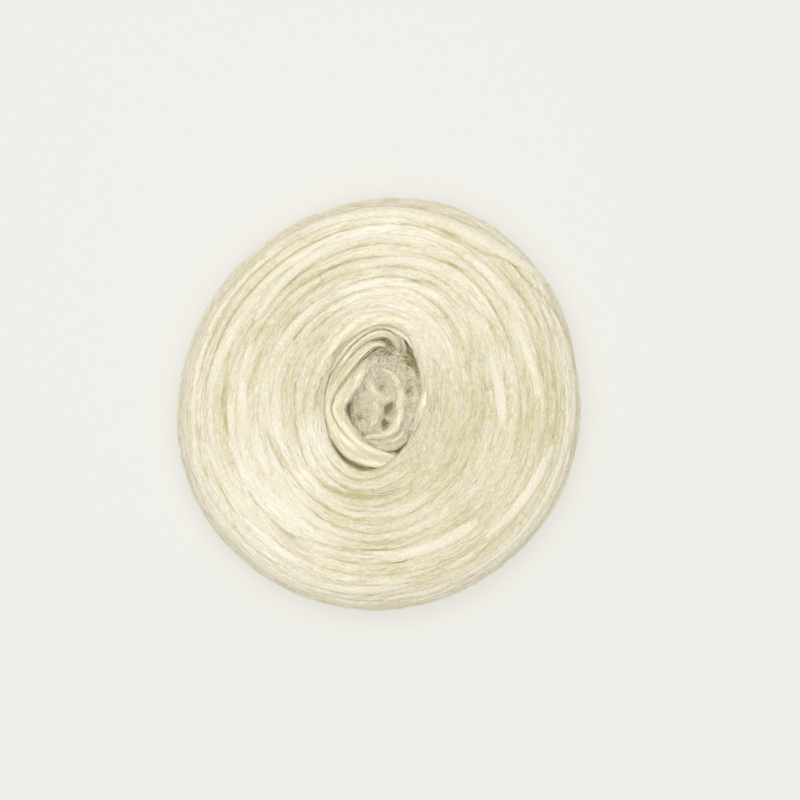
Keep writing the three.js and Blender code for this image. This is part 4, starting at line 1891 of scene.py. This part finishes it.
@dataclass(frozen=True)
class Studio:
    """The pale floor, the soft light and the camera straight above."""

    photo_pixels: int = 800
    mm_per_pixel: float = 0.44
    middle: tuple[float, float] = (9.46, 1.76)
    focus_height: float = 30.0
    lens: float = 150.0
    sensor: float = 36.0
    floor_half: float = 1500.0
    floor_height: float = -0.2
    floor_paint: FloorPaint = FloorPaint()
    world_strength: float = 0.51
    key_power: float = 25.0
    key_size: float = 1.4
    key_place: tuple[float, float, float] = (-0.07, 0.18, 2.0)
    sky_colour: tuple[float, float, float] = (1.0, 0.995, 0.98)

    def floor(self) -> bpy.types.Object:
        """Makes the floor.

        Returns:
            The floor.
        """
        signs = ((-1, -1), (1, -1), (1, 1), (-1, 1))
        places = [(x * self.floor_half, y * self.floor_half, self.floor_height) for x, y in signs]
        made = MeshMaker.build("floor", np.array(places), [np.array([[0, 1, 2, 3]])])
        made.data.materials.append(self.floor_paint.material())
        made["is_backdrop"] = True
        return made

    def lamp(self, name: str, place: Sequence[float], power: float, size: float) -> None:
        """Hangs a square lamp that points at the plate.

        Args:
            name: the lamp's name.
            place: where it hangs, in metres.
            power: its power, in watts.
            size: its side, in metres.
        """
        data = bpy.data.lights.new(name, "AREA")
        data.energy = power
        data.shape = "SQUARE"
        data.size = size
        made = bpy.data.objects.new(name, data)
        made.location = place
        made.rotation_euler = (-Vector(place)).to_track_quat("-Z", "Y").to_euler()
        bpy.context.scene.collection.objects.link(made)

    def camera(self) -> None:
        """Hangs the camera straight above, with the photo's frame."""
        data = bpy.data.cameras.new("camera")
        data.lens = self.lens
        data.sensor_width = self.sensor
        across = self.photo_pixels * self.mm_per_pixel
        above = self.focus_height + across * self.lens / self.sensor
        made = bpy.data.objects.new("camera", data)
        made.location = (self.middle[0] * MM, self.middle[1] * MM, above * MM)
        bpy.context.scene.collection.objects.link(made)
        bpy.context.scene.camera = made

    def build(self) -> None:
        """Sets up the floor, the lamps, the world and the camera."""
        self.camera()
        self.floor()
        self.lamp("key_lamp", self.key_place, self.key_power, self.key_size)
        world = bpy.data.worlds.new("soft_room")
        world.use_nodes = True
        sky = world.node_tree.nodes["Background"]
        sky.inputs[0].default_value = (*self.sky_colour, 1.0)
        sky.inputs[1].default_value = self.world_strength
        bpy.context.scene.world = world
        bpy.context.scene.view_settings.view_transform = "Standard"


OUTER_ROUTE = (
    (11.9, -26.0, 33.4), (8.9, -25.9, 33.9), (5.7, -25.7, 34.6), (2.4, -25.3, 35.2),
    (-0.9, -24.9, 35.6), (-4.0, -24.3, 35.9), (-7.0, -23.2, 36.1), (-9.8, -21.8, 36.3),
    (-12.4, -20.0, 36.4), (-14.8, -17.8, 36.4), (-17.0, -15.2, 36.3), (-19.0, -12.4, 36.1),
    (-20.7, -9.4, 35.9), (-21.9, -6.0, 35.7), (-22.6, -2.3, 35.7), (-22.7, 1.5, 35.7),
    (-22.3, 5.3, 35.7), (-21.4, 9.0, 35.7), (-20.0, 12.6, 35.7), (-18.2, 16.2, 35.8),
    (-15.9, 19.8, 36.0), (-13.2, 23.2, 36.2), (-10.2, 26.3, 36.4), (-6.8, 29.0, 36.6),
    (-3.0, 30.8, 36.7), (0.8, 31.5, 36.6), (4.2, 30.6, 36.2), (6.6, 28.2, 35.4), (7.8, 25.0, 34.2),
    (8.0, 21.6, 32.8),
)
INNER_ROUTE = (
    (12.8, -24.2, 33.8), (9.8, -24.0, 35.0), (6.8, -23.6, 35.8), (3.8, -22.9, 36.3),
    (0.9, -22.1, 36.6), (-2.0, -21.1, 36.8), (-4.9, -19.7, 37.0), (-7.6, -17.9, 37.1),
    (-10.1, -15.7, 37.2), (-12.3, -13.2, 37.3), (-14.3, -10.4, 37.4), (-16.2, -7.4, 37.5),
    (-17.8, -4.4, 37.6), (-18.4, -1.4, 37.7), (-17.4, 1.6, 37.7), (-15.6, 4.4, 37.6),
    (-13.4, 7.2, 37.6), (-11.2, 10.0, 37.4), (-9.2, 12.9, 37.2), (-7.1, 15.8, 36.8),
    (-4.9, 18.5, 36.0), (-2.6, 20.9, 34.7), (-0.2, 22.8, 32.6),
)
EYE_LAYS = (
    Strand(
        "first_turn_over_the_eye",
        (
            (-31.6, 6.0, 40.6), (-30.6, 11.4, 41.2), (-28.0, 16.8, 41.5), (-23.6, 23.4, 41.7),
            (-18.0, 29.6, 41.8), (-12.4, 34.0, 41.9), (-6.7, 36.8, 42.0), (1.2, 38.3, 42.0),
            (7.9, 37.2, 41.9), (14.6, 33.4, 41.7), (19.1, 29.2, 41.6), (21.9, 24.2, 41.3),
            (22.7, 18.8, 41.0), (22.0, 13.0, 40.4),
        ),
        7.4,
        (0.3, 0.75, 0.95, 1.0, 1.0, 1.0, 0.95, 0.8, 0.4),
        70,
        flatness=0.5,
        plies=4,
        ply_depth=0.06,
        sides=28,
        steps=90,
        fibre_strength=1.5,
        dark=0.06,
    ),
    Strand(
        "thin_strand_between",
        (
            (-22.0, -1.6, 35.8), (-21.4, 3.6, 36.2), (-18.9, 9.6, 36.6), (-16.0, 14.0, 36.8),
            (-12.6, 18.4, 36.8), (-8.2, 22.8, 36.7), (-4.4, 25.7, 36.4), (-1.3, 26.7, 35.9),
            (1.4, 26.2, 34.7), (2.8, 24.4, 32.6),
        ),
        4.0,
        (0.3, 0.8, 0.95, 1.0, 1.0, 0.95, 0.85, 0.65, 0.45),
        71,
        sides=28,
        steps=90,
        dark=0.03,
    ),
    Strand(
        "narrow_strand_outside",
        (
            (-28.4, 2.2, 38.4), (-26.6, 8.0, 38.2), (-23.0, 14.8, 38.0), (-18.6, 21.6, 37.8),
            (-13.2, 27.8, 37.6), (-7.4, 32.0, 37.6), (-1.0, 34.4, 37.6), (4.8, 33.4, 37.2),
            (8.8, 30.0, 36.4), (10.4, 25.8, 35.2), (10.6, 21.4, 33.6),
        ),
        3.6,
        (0.3, 0.8, 1.0, 1.0, 1.0, 0.9, 0.75, 0.55, 0.45, 0.4),
        72,
        sides=28,
        steps=90,
        dark=0.02,
    ),
    Strand(
        "right_lip",
        (
            (21.6, 16.0, 38.0), (20.6, 9.6, 39.2), (19.4, 3.0, 39.6), (18.2, -3.6, 39.4),
            (16.8, -10.2, 38.8), (14.8, -16.6, 38.0), (12.0, -22.6, 36.6), (8.6, -27.0, 34.8),
        ),
        5.4,
        (0.3, 0.7, 0.95, 1.0, 1.0, 0.9, 0.8, 0.5),
        73,
        sides=28,
        steps=90,
        fibre_strength=1.3,
    ),
)
LAST_TURN = Ply(
    (
        (-8.0, -14.0, 0.0), (4.0, -9.0, 0.5), (14.0, -5.5, 0.85), (22.0, -3.6, 1.0), (31.0, -1.6, 1.0),
        (38.0, 1.0, 1.0), (45.0, 3.6, 1.0), (52.0, 6.4, 1.0), (59.0, 8.2, 1.0), (66.0, 8.8, 1.0),
        (77.0, 8.0, 1.0), (95.0, 6.4, 0.9), (115.0, 4.6, 0.6), (138.0, 3.0, 0.0),
    ),
    8.4,
    1.2,
)


MERGING_STOPS = ((0.0, 0.0), (0.18, 0.7), (0.38, 1.0), (0.62, 1.0), (0.82, 0.7), (1.0, 0.0))
MERGING_RISE = 0.25


def merging(start_deg: float, end_deg: float, inset: float, drift: float, width: float) -> Ply:
    """Returns a low ply that comes up out of the turns, drifts across them and merges again.

    Args:
        start_deg: the angle where it comes up.
        end_deg: the angle where it merges.
        inset: its distance from the outline half way, in millimetres.
        drift: how far it drifts inwards along its length, in millimetres.
        width: its width, in millimetres.

    Returns:
        The ply.
    """
    rows = tuple(
        (lerp(start_deg, end_deg, at), inset + drift * (at - 0.5), share) for at, share in MERGING_STOPS
    )
    return Ply(rows, width, MERGING_RISE)


MERGING_PLIES = (
    merging(84.0, 150.0, 20.0, 6.0, 5.4),
    merging(128.0, 186.0, 16.0, -4.0, 6.0),
    merging(150.0, 205.0, 29.0, 6.0, 5.4),
    merging(186.0, 238.0, 16.0, 7.0, 6.2),
    merging(206.0, 262.0, 36.0, -5.0, 5.0),
    merging(232.0, 286.0, 9.0, 6.0, 5.6),
    merging(258.0, 320.0, 24.0, -6.0, 6.0),
    merging(300.0, 352.0, 13.0, -6.0, 6.0),
    merging(332.0, 396.0, 33.0, 6.0, 5.6),
    merging(350.0, 402.0, 19.0, 6.0, 5.0),
    merging(44.0, 104.0, 31.0, 6.0, 5.4),
    merging(96.0, 168.0, 40.0, -5.0, 4.8),
)


class WoolPlate:
    """The whole plate: builds its pieces in order, dresses them and ties them to the frame."""

    def __init__(self) -> None:
        """Sets out the form and the finishes."""
        self.form = PlateForm()
        self.winding = Winding(self.form)
        thin = {"softness": 0.0, "sheen": 0.0}
        self.hair = Fleece("wool_fibres", (0.98, 0.93, 0.745), (0.61, 0.56, 0.31), **thin).material()
        self.curl = Fleece("wool_curls", (0.985, 0.935, 0.775), (0.57, 0.50, 0.20), **thin).material()
        self.finishes = {
            Slot.WOOL: Fleece(
                "wool_turns", (0.975, 0.918, 0.795), (0.585, 0.525, 0.285), softness=0.2
            ).material(),
            Slot.LOOSE: Fleece("wool_loose", (0.98, 0.925, 0.79), (0.57, 0.50, 0.205)).material(),
            Slot.TEASED: Fleece(
                "wool_teased",
                (0.985, 0.93, 0.77),
                (0.55, 0.48, 0.17),
                contrast=0.85,
                crimp=2.4,
                fibre_cell=(1.5, 0.7),
                hair_cell=(0.8, 0.4),
                grain_cell=(0.4, 0.36),
                patch_cell=(5.0, 3.0),
                tint_cell=(6.0, 3.0),
            ).material(),
        }

    def dress(
        self,
        piece: bpy.types.Object,
        slot: Slot,
        *nodes: str,
        finish: bpy.types.Material | None = None,
    ) -> bpy.types.Object:
        """Gives a piece its finish and its body, and hides the frame's parts that it stands for.

        Args:
            piece: the piece.
            slot: its material slot, which also gives its finish.
            nodes: the names of the frame's parts that it stands for, which are hidden.
            finish: a finish in place of the slot's, for fibres too thin to be soft inside.

        Returns:
            The piece.
        """
        piece.data.materials.clear()
        piece.data.materials.append(finish or self.finishes[slot])
        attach(piece, "root")
        if nodes:
            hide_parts(*nodes)
        triangles = sum(len(p.vertices) - 2 for p in piece.data.polygons)
        log.info("%s: %d triangles, slot %s", piece.name, triangles, slot.value)
        return piece

    def build_plate(self) -> None:
        """Builds the wound body, the turns and the plies that cross them."""
        self.dress(Body(self.form).build(), Slot.WOOL, "wound_plate")
        for piece in Turns(self.form, self.winding).build():
            self.dress(piece, Slot.WOOL, "wound_plate")
        last = SlantingPlies(self.form, "last_turn", (LAST_TURN,))
        self.dress(last.build(), Slot.WOOL, "wound_plate")
        merged = SlantingPlies(self.form, "merging_plies", MERGING_PLIES, step=1.4, points_across=18)
        self.dress(merged.build(), Slot.WOOL, "wound_plate")

    def build_fibres(self) -> None:
        """Builds the wisps and single fibres on the turns."""
        rim = self.form.rim_distance
        for patch in (
            Patch("wisps_on_top", 280, 1.0, rim - 8.0, (5.0, 15.0), (0.3, 0.7), (0.0, 0.1), 5.0, 51),
            Patch(
                "wisps_on_side", 200, rim - 12.0, rim + 20.0, (6.0, 18.0), (0.3, 0.8), (0.0, 0.15), 5.0, 52
            ),
        ):
            piece = SurfaceFibres(self.form, self.winding, patch, steps=9, sides=5, flat=0.35).build()
            self.dress(piece, Slot.WOOL)
        for patch in (
            Patch("fibres_on_top", 2300, -2.0, rim - 6.0, (2.5, 10.0), (0.09, 0.18), (0.0, 0.4), 8.0, 61),
            Patch(
                "fibres_on_side", 2000, rim - 14.0, rim + 22.0, (3.0, 14.0), (0.09, 0.18), (0.0, 0.9), 8.0, 62
            ),
        ):
            piece = SurfaceFibres(self.form, self.winding, patch, steps=7).build()
            self.dress(piece, Slot.WOOL, finish=self.hair)

    def build_eye(self) -> None:
        """Builds the loose strands and the tuft in the eye."""
        shift = self.form.shift
        outer = Strand(
            "eye_strand_outer_wool",
            OUTER_ROUTE,
            5.4,
            (0.9, 1.1, 1.28, 1.4, 1.36, 1.18, 0.96, 0.72, 0.58, 0.58, 0.62, 0.6, 0.3),
            21,
        )
        inner = Strand(
            "eye_strand_inner_wool",
            INNER_ROUTE,
            5.0,
            (0.6, 0.85, 1.06, 1.18, 1.18, 1.14, 1.2, 1.32, 1.34, 1.2, 0.8),
            31,
        )
        for strand, node in ((outer, "eye_strand_outer"), (inner, "eye_strand_inner")):
            piece = self.dress(strand.build(shift), Slot.LOOSE, node)
            path = strand.path(shift) * MM
            tuple(path[0])
            strand.diameter * MM
            [tuple(p) for p in path]
        lays = joined("eye_lays", [lay.shape(shift) for lay in EYE_LAYS])
        self.dress(lays, Slot.LOOSE, "wound_plate")
        tuft = Tuft(self.form)
        self.dress(tuft.pad(), Slot.TEASED, "eye_tuft")
        self.dress(tuft.lock_piece(), Slot.TEASED, "eye_tuft")
        self.dress(tuft.curl_piece(), Slot.TEASED, finish=self.curl)
        hairy = [(outer, 220), (inner, 220)]
        hairy += [(lay, 90) for lay in EYE_LAYS]
        hairy += [(lock, 130) for lock in tuft.strands()]
        paths = [
            strand.fibres(shift, count, seed=80 + number, steps=7)
            for number, (strand, count) in enumerate(hairy)
        ]
        piece = hairs("eye_strand_fibres", np.concatenate(paths), (0.05, 0.1), (0.7, 1.15), 99)
        self.dress(piece, Slot.LOOSE, finish=self.hair)

    def build(self) -> None:
        """Builds everything."""
        self.build_plate()
        self.build_fibres()
        self.build_eye()


def corners(box: Sequence[Sequence[float]]) -> list[list[float]]:
    """Returns a box's two corners as plain lists of numbers."""
    return [[float(value) for value in corner] for corner in box]


def main() -> None:
    """Builds the scene around the frame."""
    logging.basicConfig(level=logging.INFO, format="%(name)s: %(message)s")
    cad_box = corners(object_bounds())
    Studio().build()
    WoolPlate().build()
    {"cad": cad_box, "visual": corners(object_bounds())}


if __name__ == "__main__":
    main()
